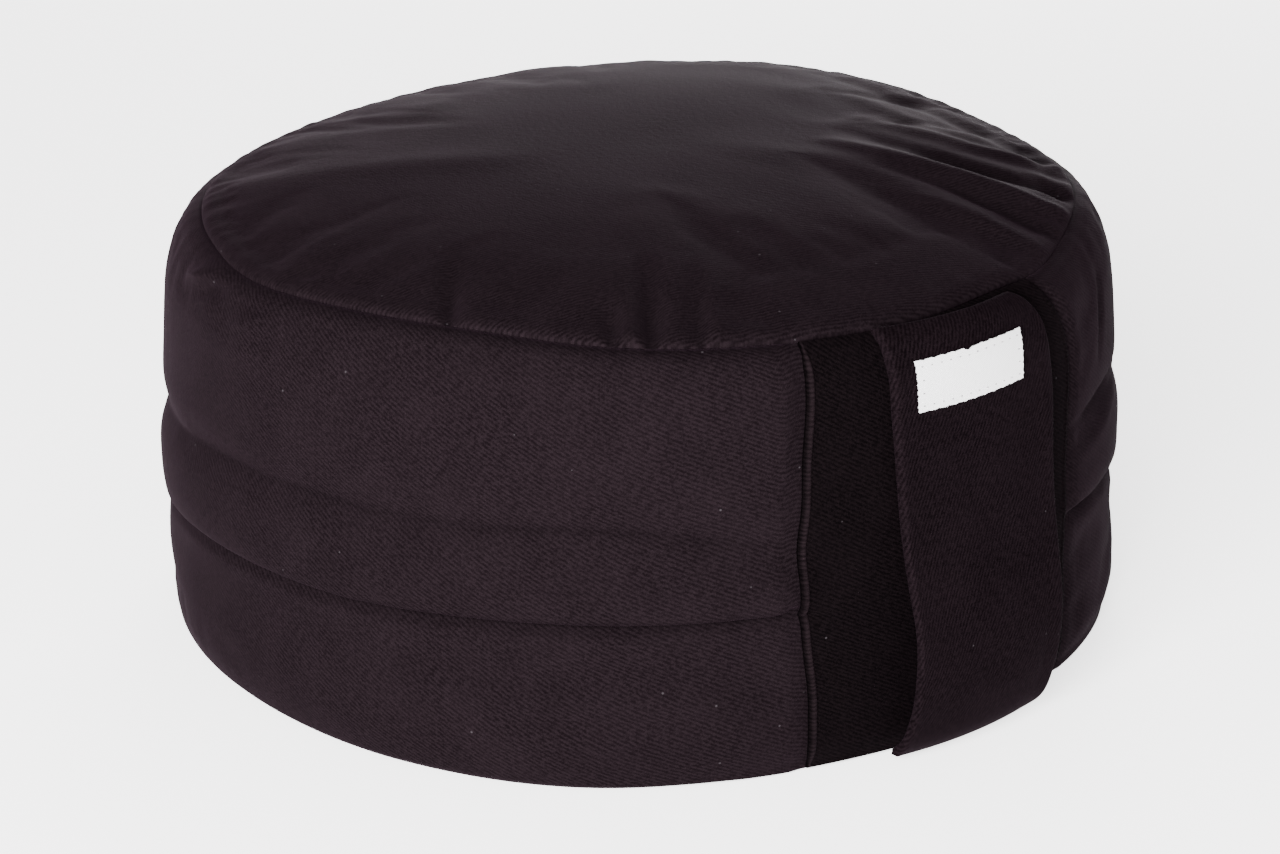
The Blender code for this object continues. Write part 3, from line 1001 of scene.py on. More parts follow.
@dataclass(frozen=True)
class PaperFinish:
    """The plain white studio floor."""

    name: str = "studio_paper"
    white: Colour = (0.96, 0.95, 0.955)
    glow: float = 1.9
    roughness: float = 0.9
    gloss: float = 0.1

    def build(self) -> bpy.types.Material:
        """Makes the material.

        Returns:
            The new material.
        """
        nodes = Nodes(self.name)
        nodes.feed(nodes.shader.inputs["Base Color"], opaque(self.white))
        nodes.feed(nodes.shader.inputs["Roughness"], self.roughness)
        nodes.feed(nodes.shader.inputs["Specular IOR Level"], self.gloss)
        nodes.feed(nodes.shader.inputs["Emission Color"], opaque(self.white))
        nodes.feed(nodes.shader.inputs["Emission Strength"], self.glow)
        return nodes.material


BODY_TWILL = TwillFinish(
    "body_twill_finish",
    groove=(0.0020, 0.0012, 0.0016),
    yarn=(0.0053, 0.0034, 0.0043),
)
INSERT_TWILL = TwillFinish(
    "insert_twill_finish",
    groove=(0.0006, 0.0004, 0.0005),
    yarn=(0.0022, 0.0014, 0.0017),
    sheen=0.003,
    highlight_gain=4.2,
)
STRAP_TWILL = TwillFinish(
    "strap_twill_finish",
    groove=(0.0009, 0.0005, 0.0007),
    yarn=(0.0038, 0.0023, 0.0030),
    wale_angle=-27.0,
    sheen=0.006,
)
LABEL_TAPE = TapeFinish()


@dataclass(frozen=True)
class FilledBody:
    """The filled body: bottom panel, band with its folds, and crowned top panel."""

    form: BodyForm = BodyForm()
    name: str = "filled_body"
    columns: int = 480
    bottom_rows: int = 10
    foot_rows: int = 3
    band_rows: int = 112
    top_rows: int = 62
    fill: float = 0.8
    top_turn: float = -13.5
    foot_curl: float = 1.6
    # The settling cloth: its coarse mesh, frames, pressure inside, slack and stiffness
    voxel: float = 0.005
    swell_frames: int = 20
    pressure: float = 4.0
    slack: float = -0.025
    bending: float = 0.6
    stretching: float = 20.0
    # What the body takes over from it: reach of the even swelling, most movement, share of it, how many
    # points are looked up and how softly, and the height below which nothing moves up or down
    even_reach: float = 0.028
    swell_cap: float = 0.0030
    swell_share: float = 0.5
    near_points: int = 6
    near_blur: float = 0.001
    floor_band: float = 0.0005
    # Where the cloth is held: distance from the top seam and from the floor, each with a half width
    seam_hold: Span = (0.007, 0.005)
    foot_hold: Span = (0.008, 0.006)
    insert_from: float = 0.12
    # Share of the band's rows up to each height, given against the folds and the seams
    band_spacing: tuple[tuple[float, Level, float], ...] = (
        (0.00, Level.FOOT, 0.0000),
        (0.06, Level.FLOOR, 0.0100),
        (0.20, Level.DEEP, -0.0120),
        (0.29, Level.DEEP, -0.0045),
        (0.42, Level.DEEP, 0.0030),
        (0.49, Level.DEEP, 0.0090),
        (0.55, Level.SOFT, -0.0100),
        (0.68, Level.SOFT, 0.0070),
        (0.84, Level.SEAM, -0.0200),
        (0.93, Level.SEAM, -0.0050),
        (1.00, Level.SEAM, 0.0000),
    )
    # How strongly a highlight is painted on the lip of the top seam: bearing, share
    lip_highlight_share: Table = (
        (-150, 0.10),
        (-110, 0.15),
        (-85, 0.20),
        (-60, 0.28),
        (-48, 0.36),
        (-36, 0.34),
        (-24, 0.15),
        (0, 0.10),
        (90, 0.10),
    )
    # The painted highlight along the lip, the height over which it begins, and how the highlight comes and
    # goes
    lip_highlight: Ridge = Ridge(1.0, 0.0011, 0.0008)
    top_begins: float = 0.0015
    patch_mean: float = 0.55
    patch_swing: float = 0.45
    patch_bend: float = 2.2
    patch_waves: tuple[float, float, float] = (0.9, 0.23, 2.3)
    # How dark the painted shade is in the top seam, under the deep fold's lip and in the soft fold, and the
    # depths at which the two folds are painted that dark
    seam_painted_shade: Ridge = Ridge(0.55, 0.0, 0.0008)
    deep_fold_painted_shade: Ridge = Ridge(0.85, -0.0014, 0.0013)
    soft_fold_painted_shade: Ridge = Ridge(0.22, 0.0, 0.0016)
    full_deep: float = 0.0040
    full_soft: float = 0.0024
    # How dark the painted shade is in the top's sharp creases: at most, their greatest half width, the depth
    # at which they are painted that dark, the shaded line's width against the crease's, and the height they
    # lie above
    crease_shade_strength: float = 0.75
    sharp_crease: float = 0.0050
    full_crease: float = 0.0030
    crease_narrow: float = 0.35
    top_from: float = 0.1
    # Share of the top's rows up to each distance from the seam
    top_spacing: Table = ((0.0, 0.0), (0.14, 0.004), (0.30, 0.014), (1.0, 0.1525))

    def band_height(self, bearing: Array, share: Array) -> Array:
        """Spaces the band's rows closely at its folds and its seam.

        Args:
            bearing: Degrees round the body.
            share: Share of the band's rows, from the bottom seam up.

        Returns:
            The height of each point.
        """
        level = {
            Level.FOOT: round_column(self.form.foot_seam, bearing),
            Level.FLOOR: np.zeros_like(bearing),
            Level.DEEP: round_column(self.form.deep_fold, bearing),
            Level.SOFT: round_column(self.form.soft_fold, bearing),
            Level.SEAM: self.form.seam_level(bearing),
        }
        height = np.zeros_like(bearing)
        for low, high in zip(self.band_spacing, self.band_spacing[1:]):
            t = (share - low[0]) / (high[0] - low[0])
            start, end = level[low[1]] + low[2], level[high[1]] + high[2]
            height = np.where((t >= -TINY) & (t <= 1 + TINY), start + t * (end - start), height)
        return height

    def surface(self, bearing: Array, row: Array) -> Array:
        """Places every point of the body.

        Args:
            bearing: Degrees round the body.
            row: The point's row, from the middle of the bottom to the middle of the top.

        Returns:
            Points as rows of x, y and z.
        """
        form = self.form
        foot_start = self.bottom_rows
        band_start = foot_start + self.foot_rows
        top_start = band_start + self.band_rows
        foot_edge = form.foot_radius + round_column(form.foot_reach, bearing)
        bottom = polar(bearing, foot_edge * np.clip(row / foot_start, 0, 1), 0.0)
        band_share = np.clip((row - band_start) / self.band_rows, 0, 1)
        band = form.band_points(bearing, self.band_height(bearing, band_share))
        rim = np.clip((row - foot_start) / self.foot_rows, 0, 1)[:, None]
        foot_height = round_column(form.foot_seam, bearing)
        foot_band = form.band_points(bearing, foot_height)
        foot = bottom + (foot_band - bottom) * rim
        foot[:, 2] = foot_height * rim[:, 0] ** self.foot_curl
        spacing = np.array(self.top_spacing)
        to_seam = np.interp((row - top_start) / self.top_rows, spacing[:, 0], spacing[:, 1])
        top = form.top_points(bearing, 1 - to_seam / spacing[-1, 1])
        points = np.where((row <= foot_start)[:, None], bottom, foot)
        points = np.where((row >= band_start)[:, None], band, points)
        return np.where((row > top_start)[:, None], top, points)

    def weave_places(self, body: bpy.types.Object, bearing: Array, row: Array, points: Array) -> Array:
        """Gives each face corner its place on its own flat panel.

        Args:
            body: The body, as a grid of quads.
            bearing: Degrees round the body of each point.
            row: Row of each point.
            points: Place of each point.

        Returns:
            One place for each face corner.
        """
        corner = Bench.corners(body)
        top_start = self.bottom_rows + self.foot_rows + self.band_rows
        middle = row[corner].reshape(-1, 4).mean(axis=1).repeat(4)
        on_band = (middle > self.bottom_rows) & (middle < top_start)
        arc = np.radians(bearing) * self.form.foot_radius
        column_number = np.round(bearing / 360 * self.columns).astype(int)
        grid = np.zeros((int(row.max()) + 1, self.columns + 1, 3))
        grid[row.astype(int), column_number] = points
        climb = np.cumsum(np.linalg.norm(np.diff(grid, axis=0, prepend=grid[:1]), axis=2), axis=0)
        band = np.stack([arc, climb[row.astype(int), column_number]], axis=-1)[corner]
        turn = math.radians(self.top_turn)
        turned = np.array([(math.cos(turn), math.sin(turn)), (-math.sin(turn), math.cos(turn))])
        return np.where(on_band[:, None], band, (points[:, :2] @ turned)[corner])

    def painted_light_and_shade(self, points: Array) -> Array:
        """Paints a highlight where the cloth stands proud along the top seam, and shade in the seam, deep in
        its folds and in creases.

        Args:
            points: Points as rows of x, y and z.

        Returns:
            The painted light and shade at each point.
        """
        form = self.form
        bearing, height = np.degrees(np.arctan2(points[:, 0], -points[:, 1])), points[:, 2]
        inside = form.seam_out(bearing) - np.hypot(points[:, 0], points[:, 1])
        above_seam = height - form.seam_level(bearing)
        on_top = step_up(above_seam, self.top_begins)
        tone_and_painted_light = self.lip_highlight.at(inside, on_top * self.highlight_patches(bearing) * round_column(self.lip_highlight_share, bearing))
        tone_and_painted_light = tone_and_painted_light - self.seam_painted_shade.at(np.hypot(inside, above_seam))
        deep_depth = round_column(form.deep_fold, bearing, 2) / self.full_deep
        soft_depth = round_column(form.soft_fold, bearing, 2) / self.full_soft
        deep = self.deep_fold_painted_shade.at(height - round_column(form.deep_fold, bearing), deep_depth)
        soft = self.soft_fold_painted_shade.at(height - round_column(form.soft_fold, bearing), soft_depth)
        tone_and_painted_light = tone_and_painted_light - (inside < 0) * (1 - form.insert_share(bearing, height)) * (deep + soft)
        return tone_and_painted_light - (inside > 0) * (height > self.top_from) * self.crease_shade_strength * self.creases(points)

    def highlight_patches(self, bearing: Array) -> Array:
        """Tells how the painted highlight on the lip comes and goes.

        Args:
            bearing: Degrees round the body.

        Returns:
            The share of the painted highlight, from 0.1 to 1.
        """
        slow, slower, quick = self.patch_waves
        wave = np.sin(bearing * slow + self.patch_bend * np.sin(bearing * slower)) * np.sin(bearing * quick)
        return self.patch_mean + self.patch_swing * wave

    def creases(self, points: Array) -> Array:
        """Finds how much shade to paint in the sharp creases of the top panel.

        Args:
            points: Points as rows of x, y and z.

        Returns:
            Up to 1 at the outer end of a sharp crease, falling to 0 beside it and at its inner end.
        """
        most = np.zeros(len(points))
        for x0, y0, x1, y1, x2, y2, rise, half_width in self.form.top_folds:
            if rise < 0 and half_width < self.sharp_crease:
                line = np.array(((x0, y0), (x1, y1), (x2, y2)))
                away, share = near_line(points[:, 0], points[:, 1], line)
                depth = min(-rise / self.full_crease, 1.0)
                dark = depth * (1 - share) * bell(away, self.crease_narrow * half_width)
                most = np.maximum(most, dark)
        return most

    def held(self, points: Array) -> Array:
        """Tells how firmly each point is held while the cloth settles.

        Args:
            points: Points as rows of x, y and z.

        Returns:
            1 at the top seam, under the insert and at the foot, falling to 0 in the open cloth.
        """
        form = self.form
        bearing = np.degrees(np.arctan2(points[:, 0], -points[:, 1]))
        radius = np.hypot(points[:, 0], points[:, 1])
        to_seam = np.hypot(radius - form.seam_out(bearing), points[:, 2] - form.seam_level(bearing))
        at_seam = 1 - step_up(to_seam - self.seam_hold[0], self.seam_hold[1])
        at_foot = 1 - step_up(points[:, 2] - self.foot_hold[0], self.foot_hold[1])
        behind = form.insert_share(bearing, points[:, 2]) * (radius > self.insert_from)
        return np.maximum(np.maximum(at_seam, at_foot), behind)

    def swell(self, copy: bpy.types.Object) -> tuple[Array, Array]:
        """Lets a coarse mesh of the filled cloth swell and settle.

        Args:
            copy: A copy of the body, which is made coarse and simulated.

        Returns:
            Its points before they move, and how far each one moves.
        """
        Bench.pick(copy)
        voxels = copy.modifiers.new("voxels", "REMESH")
        voxels.mode = "VOXEL"
        voxels.voxel_size = self.voxel
        bpy.ops.object.modifier_apply(modifier=voxels.name)
        start = Bench.points(copy)
        hold = copy.vertex_groups.new(name="held")
        for i, weight in enumerate(self.held(start)):
            hold.add([i], float(weight), "REPLACE")
        cloth = copy.modifiers.new("swell", "CLOTH")
        cloth.settings.use_pressure = True
        cloth.settings.uniform_pressure_force = self.pressure
        cloth.settings.effector_weights.gravity = 0.0
        cloth.settings.vertex_group_mass = hold.name
        cloth.settings.pin_stiffness = 1.0
        cloth.settings.shrink_min = self.slack
        cloth.settings.bending_stiffness = self.bending
        cloth.settings.tension_stiffness = self.stretching
        cloth.settings.compression_stiffness = self.stretching
        cloth.point_cache.frame_start = 1
        cloth.point_cache.frame_end = self.swell_frames
        for number in range(1, self.swell_frames + 1):
            bpy.context.scene.frame_set(number)
        bpy.ops.object.modifier_apply(modifier=cloth.name)
        bpy.context.scene.frame_set(1)
        return start, Bench.points(copy) - start

    def settle(self, body: bpy.types.Object) -> None:
        """Moves the body's points as a coarser copy of its cloth swells and settles.

        Args:
            body: The closed body, whose points are moved.
        """
        copy = body.copy()
        copy.data = body.data.copy()
        bpy.context.scene.collection.objects.link(copy)
        start, moved = self.swell(copy)
        tree = KDTree(len(start))
        for i, point in enumerate(start):
            tree.insert(point, i)
        tree.balance()
        # The even swelling is taken off again, so that the cloth keeps its measured outline
        near = [[n for _, n, _ in tree.find_range(point, self.even_reach)] for point in start]
        moved = moved - np.array([moved[numbers].mean(axis=0) for numbers in near])
        length = np.linalg.norm(moved, axis=1, keepdims=True)
        LOG.info("settling moves the cloth by %.1f mm at most", 1000 * float(length.max()))
        moved = self.swell_share * moved * np.minimum(1, self.swell_cap / np.maximum(length, TINY))
        points = Bench.points(body)
        shift = np.zeros_like(points)
        for i, point in enumerate(points):
            found = tree.find_n(point, self.near_points)
            share = np.array([1 / (away + self.near_blur) ** 2 for _, _, away in found])
            shift[i] = share @ moved[[number for _, number, _ in found]] / share.sum()
        shift[:, 2] *= points[:, 2] > self.floor_band
        Bench.move(body, points + shift * (1 - self.held(points))[:, None])
        bpy.data.objects.remove(copy)

    def build(self) -> bpy.types.Object:
        """Models the body and dresses it.

        Returns:
            The finished piece.
        """
        rows = self.bottom_rows + self.foot_rows + self.band_rows + self.top_rows
        body = Bench.cloth(self.name, self.columns, rows)
        across, along = Bench.shares(body)
        bearing, row = across * 360, np.round(along * rows)
        points = self.surface(bearing, row)
        Bench.lay_weave(body, self.weave_places(body, bearing, row, points))
        # Painted highlight on the seam's lip; painted shade in the seam, the folds and the top's creases
        Bench.paint_light_and_shade(body, self.painted_light_and_shade(points))
        Bench.move(body, points)
        Bench.close(body)
        self.settle(body)
        Bench.finish(body)
        body.data.materials.append(BODY_TWILL.build())
        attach(body, "root")
        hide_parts("cushion")
        return body


@dataclass(frozen=True)
class SideInsert:
    """The plain upright piece behind the strap, lapped over the ends of the band."""

    form: BodyForm = BodyForm()
    name: str = "insert_cloth"
    columns: int = 72
    rows: int = 96
    lowest: float = 0.0016
    below_seam: float = 0.0004
    gap: float = 0.0005
    thickness: float = 0.0011
    flat: tuple[float, float] = (0.116, 0.146)
    # Share of the columns up to each share of the width, close at the two seams
    edge_spacing: Table = ((0.0, 0.0), (0.16, 0.020), (0.84, 0.980), (1.0, 1.0))
    # The rolled edge: rise, distance in from the seam, half width, share at the right, where it ends
    edge_roll: float = 0.0012
    edge_roll_off: float = 0.0008
    edge_roll_width: float = 0.0007
    right_roll: float = 0.25
    top_end: Span = (0.004, 0.003)
    foot_end: Span = (0.007, 0.004)
    # The painted highlight along the left edge, the painted shadow line in both seams, and painted light on
    # the strip at the right, beside the strap
    edge_highlight: Ridge = Ridge(0.6, 0.0010, 0.0003)
    edge_painted_shade: Ridge = Ridge(1.0, 0.0, 0.0004)
    right_strip_light: float = 0.08
    right_from: Span = (0.90, 0.05)
    right_clear: Span = (0.0006, 0.0004)
    # The turned edge: width, faces, and the least angle of an edge that is turned or stays sharp
    bevel: float = 0.0006
    bevel_steps: int = 3
    bevel_angle: float = 50.0
    smooth_angle: float = 60.0

    def points(self, across: Array, along: Array) -> Array:
        """Places the insert's inner face over the band.

        Args:
            across: Share of the way from its left to its right seam.
            along: Share of the way up.

        Returns:
            Points as rows of x, y and z.
        """
        form = self.form
        rough = self.lowest + along * (form.seam_height - self.below_seam - self.lowest)
        left = column(form.insert_seams, rough, 1)
        right = column(form.insert_seams, rough, 2)
        bearing = left + across * (right - left)
        top = form.seam_level(bearing) - self.below_seam
        height = self.lowest + along * (top - self.lowest)
        step = form.slope_step
        radius = form.side_radius(bearing, height)
        higher, lower = form.side_radius(bearing, height + step), form.side_radius(bearing, height - step)
        slope = (higher - lower) / (2 * step)
        tilt = np.hypot(1, slope)
        to_edge = np.minimum(bearing - left, right - bearing) * math.radians(1) * radius
        at_top = step_up(top - height - self.top_end[0], self.top_end[1])
        ends = at_top * step_up(height - self.foot_end[0], self.foot_end[1])
        side = np.where(across < 0.5, 1.0, self.right_roll)
        roll = self.edge_roll * side * ends
        away = self.gap + roll * bell(to_edge - self.edge_roll_off, self.edge_roll_width)
        return polar(bearing, radius + away / tilt, height - away * slope / tilt)

    def build(self) -> bpy.types.Object:
        """Models the insert and dresses it.

        Returns:
            The finished piece.
        """
        insert = Bench.cloth(self.name, self.columns, self.rows)
        across, along = Bench.shares(insert)
        across = np.interp(across, *zip(*self.edge_spacing))
        width, height = self.flat
        Bench.lay_weave(insert, np.stack([across * width, along * height], axis=-1))
        # Painted highlight along the left edge and painted light on the strip at the right; painted shade in
        # both seams
        to_left, to_edge = across * width, np.minimum(across, 1 - across) * width
        at_right = step_up(across - self.right_from[0], self.right_from[1])
        at_right = at_right * step_up(to_edge - self.right_clear[0], self.right_clear[1])
        painted_light = self.edge_highlight.at(to_left) + self.right_strip_light * at_right
        Bench.paint_light_and_shade(insert, painted_light - self.edge_painted_shade.at(to_edge))
        Bench.move(insert, self.points(across, along))
        Bench.close(insert)
        wall = insert.modifiers.new("cloth", "SOLIDIFY")
        wall.thickness = self.thickness
        wall.offset = 1.0
        turned = insert.modifiers.new("turned_edge", "BEVEL")
        turned.width = self.bevel
        turned.segments = self.bevel_steps
        turned.limit_method = "ANGLE"
        turned.angle_limit = math.radians(self.bevel_angle)
        Bench.finish(insert, self.smooth_angle)
        insert.data.materials.append(INSERT_TWILL.build())
        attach(insert, "root")
        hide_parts("side_insert")
        return insert


@dataclass(frozen=True)
class CarryStrap:
    """The doubled strap with folded edges, sewn into the top and the bottom seam."""

    name: str = "strap_cloth"
    width: float = 0.068
    thickness: float = 0.0030
    slope_step: float = 0.0010
    face_columns: int = 72
    edge_columns: int = 10
    rows: int = 150
    # The centre line, from the top seam down to the bottom seam: distance out, height
    path: Table = (
        (0.1562, 0.1468),
        (0.1610, 0.1440),
        (0.1641, 0.1378),
        (0.1662, 0.1200),
        (0.1682, 0.1000),
        (0.1705, 0.0780),
        (0.1732, 0.0620),
        (0.1758, 0.0480),
        (0.1764, 0.0340),
        (0.1744, 0.0190),
        (0.1705, 0.0080),
        (0.1662, 0.0034),
    )
    # How the strap bends round the body, as the drop of its edges: share of its length, drop
    bend: Table = (
        (0.00, 0.0056),
        (0.05, 0.0048),
        (0.14, 0.0034),
        (0.55, 0.0020),
        (0.85, 0.0028),
        (1.00, 0.0040),
    )
    # Shallow dents: start and end as across and down, depth, half width
    dents: Table = (
        (-0.010, 0.050, 0.012, 0.085, 0.0006, 0.0070),
        (-0.022, 0.095, 0.004, 0.120, 0.0005, 0.0070),
        (0.0262, 0.020, 0.0262, 0.135, 0.00025, 0.0014),
    )
    # Where the strap is drawn in from its full width: share of its length, left edge, right edge
    ends: Table = (
        (0.00, 0.0010, 0.0115),
        (0.03, 0.0004, 0.0070),
        (0.07, 0.0000, 0.0025),
        (0.12, 0.0000, 0.0000),
        (0.40, 0.0006, 0.0000),
        (0.55, 0.0022, 0.0000),
        (0.68, 0.0034, 0.0000),
        (0.80, 0.0036, 0.0000),
        (0.88, 0.0038, 0.0000),
        (0.94, 0.0036, 0.0008),
        (1.00, 0.0036, 0.0045),
    )
    folded_edge: Ridge = Ridge(0.0004, 0.0022, 0.0022)
    # A highlight painted along the strap's folded edges
    edge_highlight: Ridge = Ridge(0.05, 0.0006, 0.0013)

    def run(self) -> Array:
        """Returns the distances down the strap's centre line, from its top end."""
        path = np.array(self.path)
        return np.concatenate([[0], np.cumsum(np.hypot(*np.diff(path, axis=0).T))])

    def place(self, across: Array, down: Array, away: Array) -> Array:
        """Places points against the strap's centre line.

        Args:
            across: Distance from the middle of the strap's width.
            down: Distance down from its top end.
            away: Distance outwards from its centre line.

        Returns:
            Points as rows of x, y and z.
        """
        path, run = np.array(self.path), self.run()
        out, height = smooth(run, path[:, 0], down), smooth(run, path[:, 1], down)
        ahead, behind = np.minimum(down + self.slope_step, run[-1]), np.maximum(down - self.slope_step, 0)
        along_out = smooth(run, path[:, 0], ahead) - smooth(run, path[:, 0], behind)
        along_up = smooth(run, path[:, 1], ahead) - smooth(run, path[:, 1], behind)
        length = np.hypot(along_out, along_up)
        bend = column(self.bend, down / run[-1]) * (across / (self.width / 2)) ** 2
        out = out - bend - away * along_up / length
        height = height + away * along_out / length
        return np.stack(np.broadcast_arrays(across, -out, height), axis=-1)

    def section(self) -> tuple[Array, Array]:
        """Draws the strap's section, once round from the left of its back.

        Returns:
            The distance across and the distance outwards of each of its points.
        """
        half_width, half_thick = self.width / 2, self.thickness / 2
        flat = half_width - half_thick
        turn = np.linspace(-np.pi / 2, np.pi / 2, self.edge_columns + 1)[1:-1]
        face = np.linspace(-flat, flat, self.face_columns + 1)
        right = flat + half_thick * np.cos(turn)
        across = np.concatenate([face, right, face[::-1], -right])
        lift = half_thick * np.sin(turn)
        away = np.concatenate([np.full(len(face), -half_thick), lift, np.full(len(face), half_thick), -lift])
        return np.append(across, across[0]), np.append(away, away[0])

    def drawn_in(self, across: Array, down: Array) -> Array:
        """Narrows the strap where its ends are gathered into the seams.

        Args:
            across: Distance from the middle of the strap's width.
            down: Distance down from its top end.

        Returns:
            The narrowed distance from the middle.
        """
        share = down / self.run()[-1]
        side = np.clip(np.abs(across) / (self.width / 2), 0, 1) ** 2
        left, right = column(self.ends, share, 1), column(self.ends, share, 2)
        return across + side * np.where(across < 0, left, -right)

    def relief(self, across: Array, down: Array) -> Array:
        """Gives the strap's dents and its thicker folded edges.

        Args:
            across: Distance from the middle of the strap's width.
            down: Distance down from its top end.

        Returns:
            How far the strap's face stands out.
        """
        lift = self.folded_edge.at(self.width / 2 - np.abs(across))
        for x0, y0, x1, y1, depth, half_width in self.dents:
            away, _ = near_line(across, down, np.array([(x0, y0), (x1, y1)]))
            lift = lift - depth * bell(away, half_width)
        return lift

    def build(self) -> bpy.types.Object:
        """Models the strap and dresses it.

        Returns:
            The finished piece.
        """
        ring_across, ring_away = self.section()
        strap = Bench.cloth(self.name, len(ring_across) - 1, self.rows)
        share, along = Bench.shares(strap)
        index = np.round(share * (len(ring_across) - 1)).astype(int)
        length = self.run()[-1]
        down = along * length
        across = self.drawn_in(ring_across[index], down)
        end = np.round(along * self.rows)
        thick = np.where((end == 0) | (end == self.rows), 0.0, 1.0)
        away = ring_away[index] * thick
        away = away + self.relief(across, down) * thick * np.sign(ring_away[index])
        girth = np.concatenate([[0], np.cumsum(np.hypot(np.diff(ring_across), np.diff(ring_away)))])
        Bench.lay_weave(strap, np.stack([girth[index], -down], axis=-1))
        # Painted highlight along the folded edges
        Bench.paint_light_and_shade(strap, self.edge_highlight.at(self.width / 2 - np.abs(ring_across[index])))
        Bench.move(strap, self.place(across, down, away))
        Bench.close(strap)
        Bench.finish(strap)
        strap.data.materials.append(STRAP_TWILL.build())
        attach(strap, "root")
        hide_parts("carry_strap")
        return strap


@dataclass(frozen=True)
class WovenLabel:
    """The blank white label, stitched on the strap all round."""

    strap: CarryStrap = CarryStrap()
    name: str = "label_cloth"
    left: float = -0.0258
    right: float = 0.0190
    height: float = 0.0157
    down: float = 0.0130
    tilt: float = 0.0009
    sag: float = 0.0005
    gap: float = 0.0003
    thickness: float = 0.0006
    columns: int = 120
    rows: int = 40
    smooth_angle: float = 50.0
    # The nick in the top edge: depth, its place and half width as shares of the length
    notch: float = 0.0007
    notch_at: float = 0.47
    notch_width: float = 0.035
    notch_power: int = 6
    # The frayed ends and the ragged long edges: depth, share of it along the edges, waves
    fray: float = 0.00016
    edge_fray: float = 0.7
    fray_power: int = 7
    end_run: float = 34.0
    edge_run: float = 60.0
    end_waves: Table = ((1.3, 1.0, 0.0), (2.9, 0.7, 1.0), (5.3, 0.5, 2.0))
    edge_waves: Table = ((1.1, 1.0, 0.0), (2.3, 0.6, 1.0), (4.7, 0.5, 2.0))
    # The needle holes: spacing, distance in from the edges, radius, proportions, faces round and along
    stitch_pitch: float = 0.0038
    stitch_inset: float = 0.0019
    hole: float = 0.00030
    hole_shape: tuple[float, float, float] = (1.5, 0.55, 0.8)
    hole_segments: int = 10
    hole_rings: int = 6

    def places(self, across_share: Array, down_share: Array, away: float) -> Array:
        """Places points over the label's area of the strap.

        Args:
            across_share: Share of the way from its left to its right end.
            down_share: Share of the way down.
            away: Distance off the strap's face.

        Returns:
            Points as rows of x, y and z.
        """
        end = self.fray * ragged(down_share * self.end_run, self.end_waves)
        end = end * (2 * across_share - 1) ** self.fray_power
        across = self.left + across_share * (self.right - self.left) + end
        edge = self.edge_fray * self.fray * ragged(across_share * self.edge_run, self.edge_waves)
        edge = edge * (2 * down_share - 1) ** self.fray_power
        lean = self.tilt * across_share
        sag = self.sag * 4 * across_share * (1 - across_share)
        nick = self.notch * bell(across_share - self.notch_at, self.notch_width)
        nick = nick * (1 - down_share) ** self.notch_power
        down = self.down + down_share * self.height - lean + sag * down_share + edge + nick
        lift = self.strap.relief(across, down)
        return self.strap.place(across, down, self.strap.thickness / 2 + lift + away)

    def stitch(self) -> bpy.types.Object:
        """Marks the needle holes of the seam round the label, a little in from its edges.

        Returns:
            One piece with every hole's thread.
        """
        width, height, inset = self.right - self.left, self.height, self.stitch_inset
        long_count = round((width - 2 * inset) / self.stitch_pitch)
        short_count = round((height - 2 * inset) / self.stitch_pitch)
        marks = [(inset + i * (width - 2 * inset) / long_count, side)
                 for i in range(long_count + 1) for side in (inset, height - inset)]
        marks += [(side, inset + i * (height - 2 * inset) / short_count)
                  for i in range(1, short_count) for side in (inset, width - inset)]
        places = np.array(marks) / (width, height)
        centres = self.places(places[:, 0], places[:, 1], self.gap + self.thickness)
        bpy.ops.object.select_all(action="DESELECT")
        bpy.ops.mesh.primitive_uv_sphere_add(
            segments=self.hole_segments, ring_count=self.hole_rings, radius=self.hole
        )
        one = bpy.context.active_object
        one.name = "label_stitches"
        one.data.name = "label_stitches"
        bpy.ops.object.mode_set(mode="EDIT")
        bpy.ops.mesh.select_all(action="SELECT")
        bpy.ops.transform.resize(value=self.hole_shape)
        bpy.ops.object.mode_set(mode="OBJECT")
        copies = [one]
        for centre in centres[1:]:
            more = one.copy()
            more.data = one.data.copy()
            bpy.context.scene.collection.objects.link(more)
            more.location = centre
            copies.append(more)
        one.location = centres[0]
        bpy.ops.object.select_all(action="DESELECT")
        for item in copies:
            item.select_set(True)
        bpy.context.view_layer.objects.active = one
        bpy.ops.object.join()
        bpy.ops.object.transform_apply(location=True, rotation=True, scale=True)
        bpy.ops.object.shade_smooth()
        one.data.materials.append(ThreadFinish().build())
        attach(one, "root")
        return one

    def build(self) -> bpy.types.Object:
        """Models the label and dresses it.

        Returns:
            The finished piece.
        """
        label = Bench.cloth(self.name, self.columns, self.rows)
        across, along = Bench.shares(label)
        width = self.right - self.left
        Bench.lay_weave(label, np.stack([across * width, along * self.height], axis=-1))
        Bench.move(label, self.places(across, 1 - along, self.gap))
        Bench.close(label)
        wall = label.modifiers.new("tape", "SOLIDIFY")
        wall.thickness = self.thickness
        wall.offset = 1.0
        Bench.finish(label, self.smooth_angle)
        label.data.materials.append(LABEL_TAPE.build())
        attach(label, "root")
        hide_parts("label")
        self.stitch()
        return label


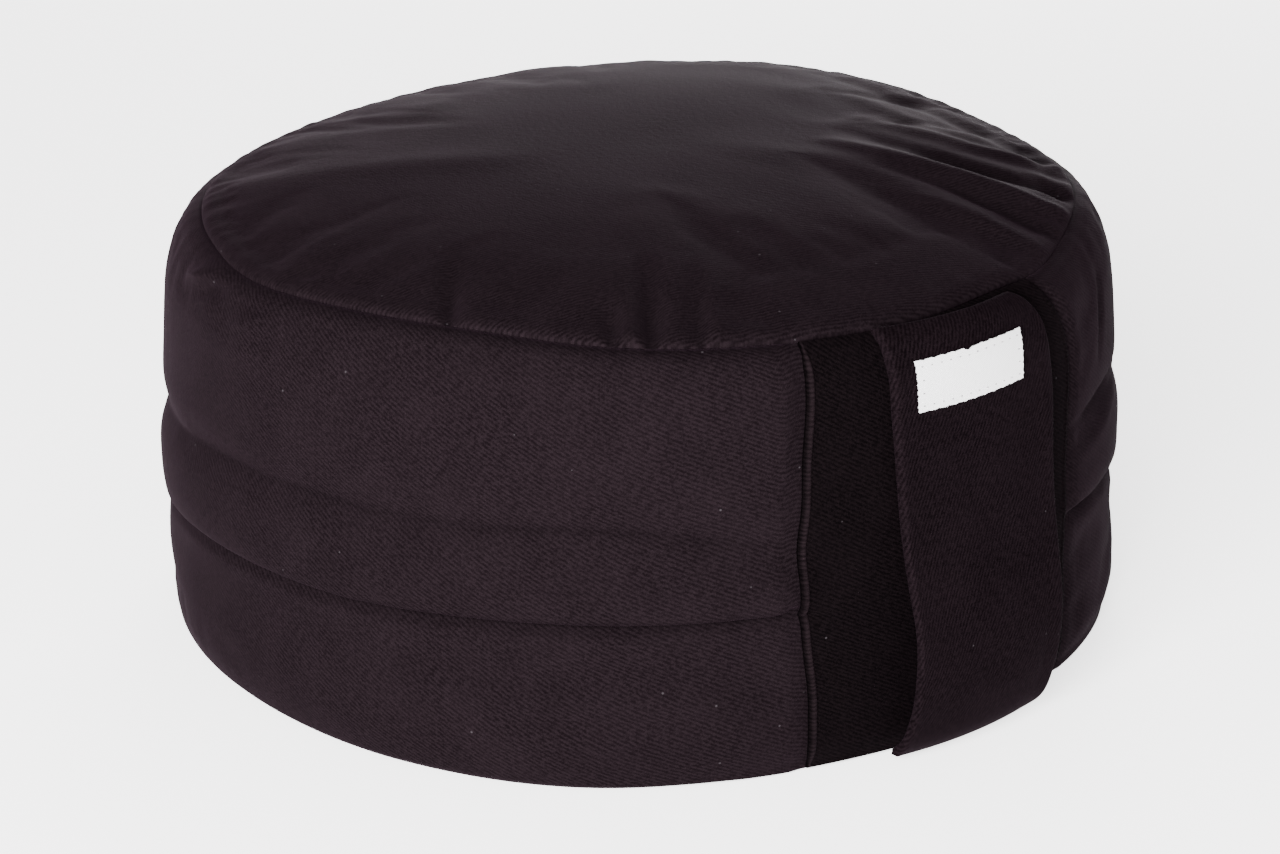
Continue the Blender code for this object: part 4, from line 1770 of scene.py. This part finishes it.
@dataclass(frozen=True)
class Studio:
    """The white floor, the soft lights and the camera at the photograph's angle."""

    aim: tuple[float, float, float] = (0.000306, -0.000257, 0.0593)
    distance: float = 1.3
    turn: float = -40.0
    rise: float = 21.84
    lens: float = 103.43
    sensor: float = 36.0
    farthest: float = 50.0
    floor_size: float = 12.0
    # Soft lights: name, azimuth, elevation, distance, size, watts
    lights: tuple[tuple[str, float, float, float, float, float], ...] = (
        ("front_light", -56.0, 20.0, 1.9, 1.2, 218.0),
        ("back_light", 133.0, 9.0, 2.4, 1.2, 160.0),
    )
    sky: float = 0.74
    sky_colour: Colour = (1.0, 0.985, 0.99)

    def towards(self, azimuth: float, elevation: float) -> Vector:
        """Returns the direction of an azimuth and an elevation in degrees."""
        a, e = math.radians(azimuth), math.radians(elevation)
        return Vector((math.sin(a) * math.cos(e), -math.cos(a) * math.cos(e), math.sin(e)))

    def place_floor(self) -> None:
        """Lays the floor."""
        bpy.ops.object.select_all(action="DESELECT")
        bpy.ops.mesh.primitive_plane_add(size=self.floor_size, location=(0, 0, 0))
        floor = bpy.context.active_object
        floor.name = "studio_floor"
        floor.data.materials.append(PaperFinish().build())

    def place_lights(self) -> None:
        """Hangs the soft lights and sets the sky."""
        for name, azimuth, elevation, distance, size, watts in self.lights:
            data = bpy.data.lights.new(name, "AREA")
            data.shape = "DISK"
            data.size = size
            data.energy = watts
            lamp = bpy.data.objects.new(name, data)
            bpy.context.scene.collection.objects.link(lamp)
            lamp.location = self.towards(azimuth, elevation) * distance
            lamp.rotation_euler = (-lamp.location).to_track_quat("-Z", "Y").to_euler()
        world = bpy.data.worlds.new("studio_sky")
        world.use_nodes = True
        back = world.node_tree.nodes["Background"]
        back.inputs["Color"].default_value = opaque(self.sky_colour)
        back.inputs["Strength"].default_value = self.sky
        bpy.context.scene.world = world

    def place_camera(self) -> None:
        """Sets the camera where the photograph was taken from."""
        data = bpy.data.cameras.new("photo_camera")
        data.lens = self.lens
        data.sensor_width = self.sensor
        data.clip_end = self.farthest
        camera = bpy.data.objects.new("photo_camera", data)
        bpy.context.scene.collection.objects.link(camera)
        aim = Vector(self.aim)
        camera.location = aim + self.towards(self.turn, self.rise) * self.distance
        camera.rotation_euler = (aim - camera.location).to_track_quat("-Z", "Y").to_euler()
        bpy.context.scene.camera = camera

    def build(self) -> None:
        """Sets up the floor, the lights and the camera."""
        self.place_floor()
        self.place_lights()
        self.place_camera()


def main() -> None:
    """Builds the pieces in order and reports each one."""
    logging.basicConfig(level=logging.INFO, format="%(name)s: %(message)s")
    Studio().build()
    for part in (FilledBody(), SideInsert(), CarryStrap(), WovenLabel()):
        piece = part.build()
        LOG.info("%s: %d faces", piece.name, len(piece.data.polygons))


if __name__ == "__main__":
    main()
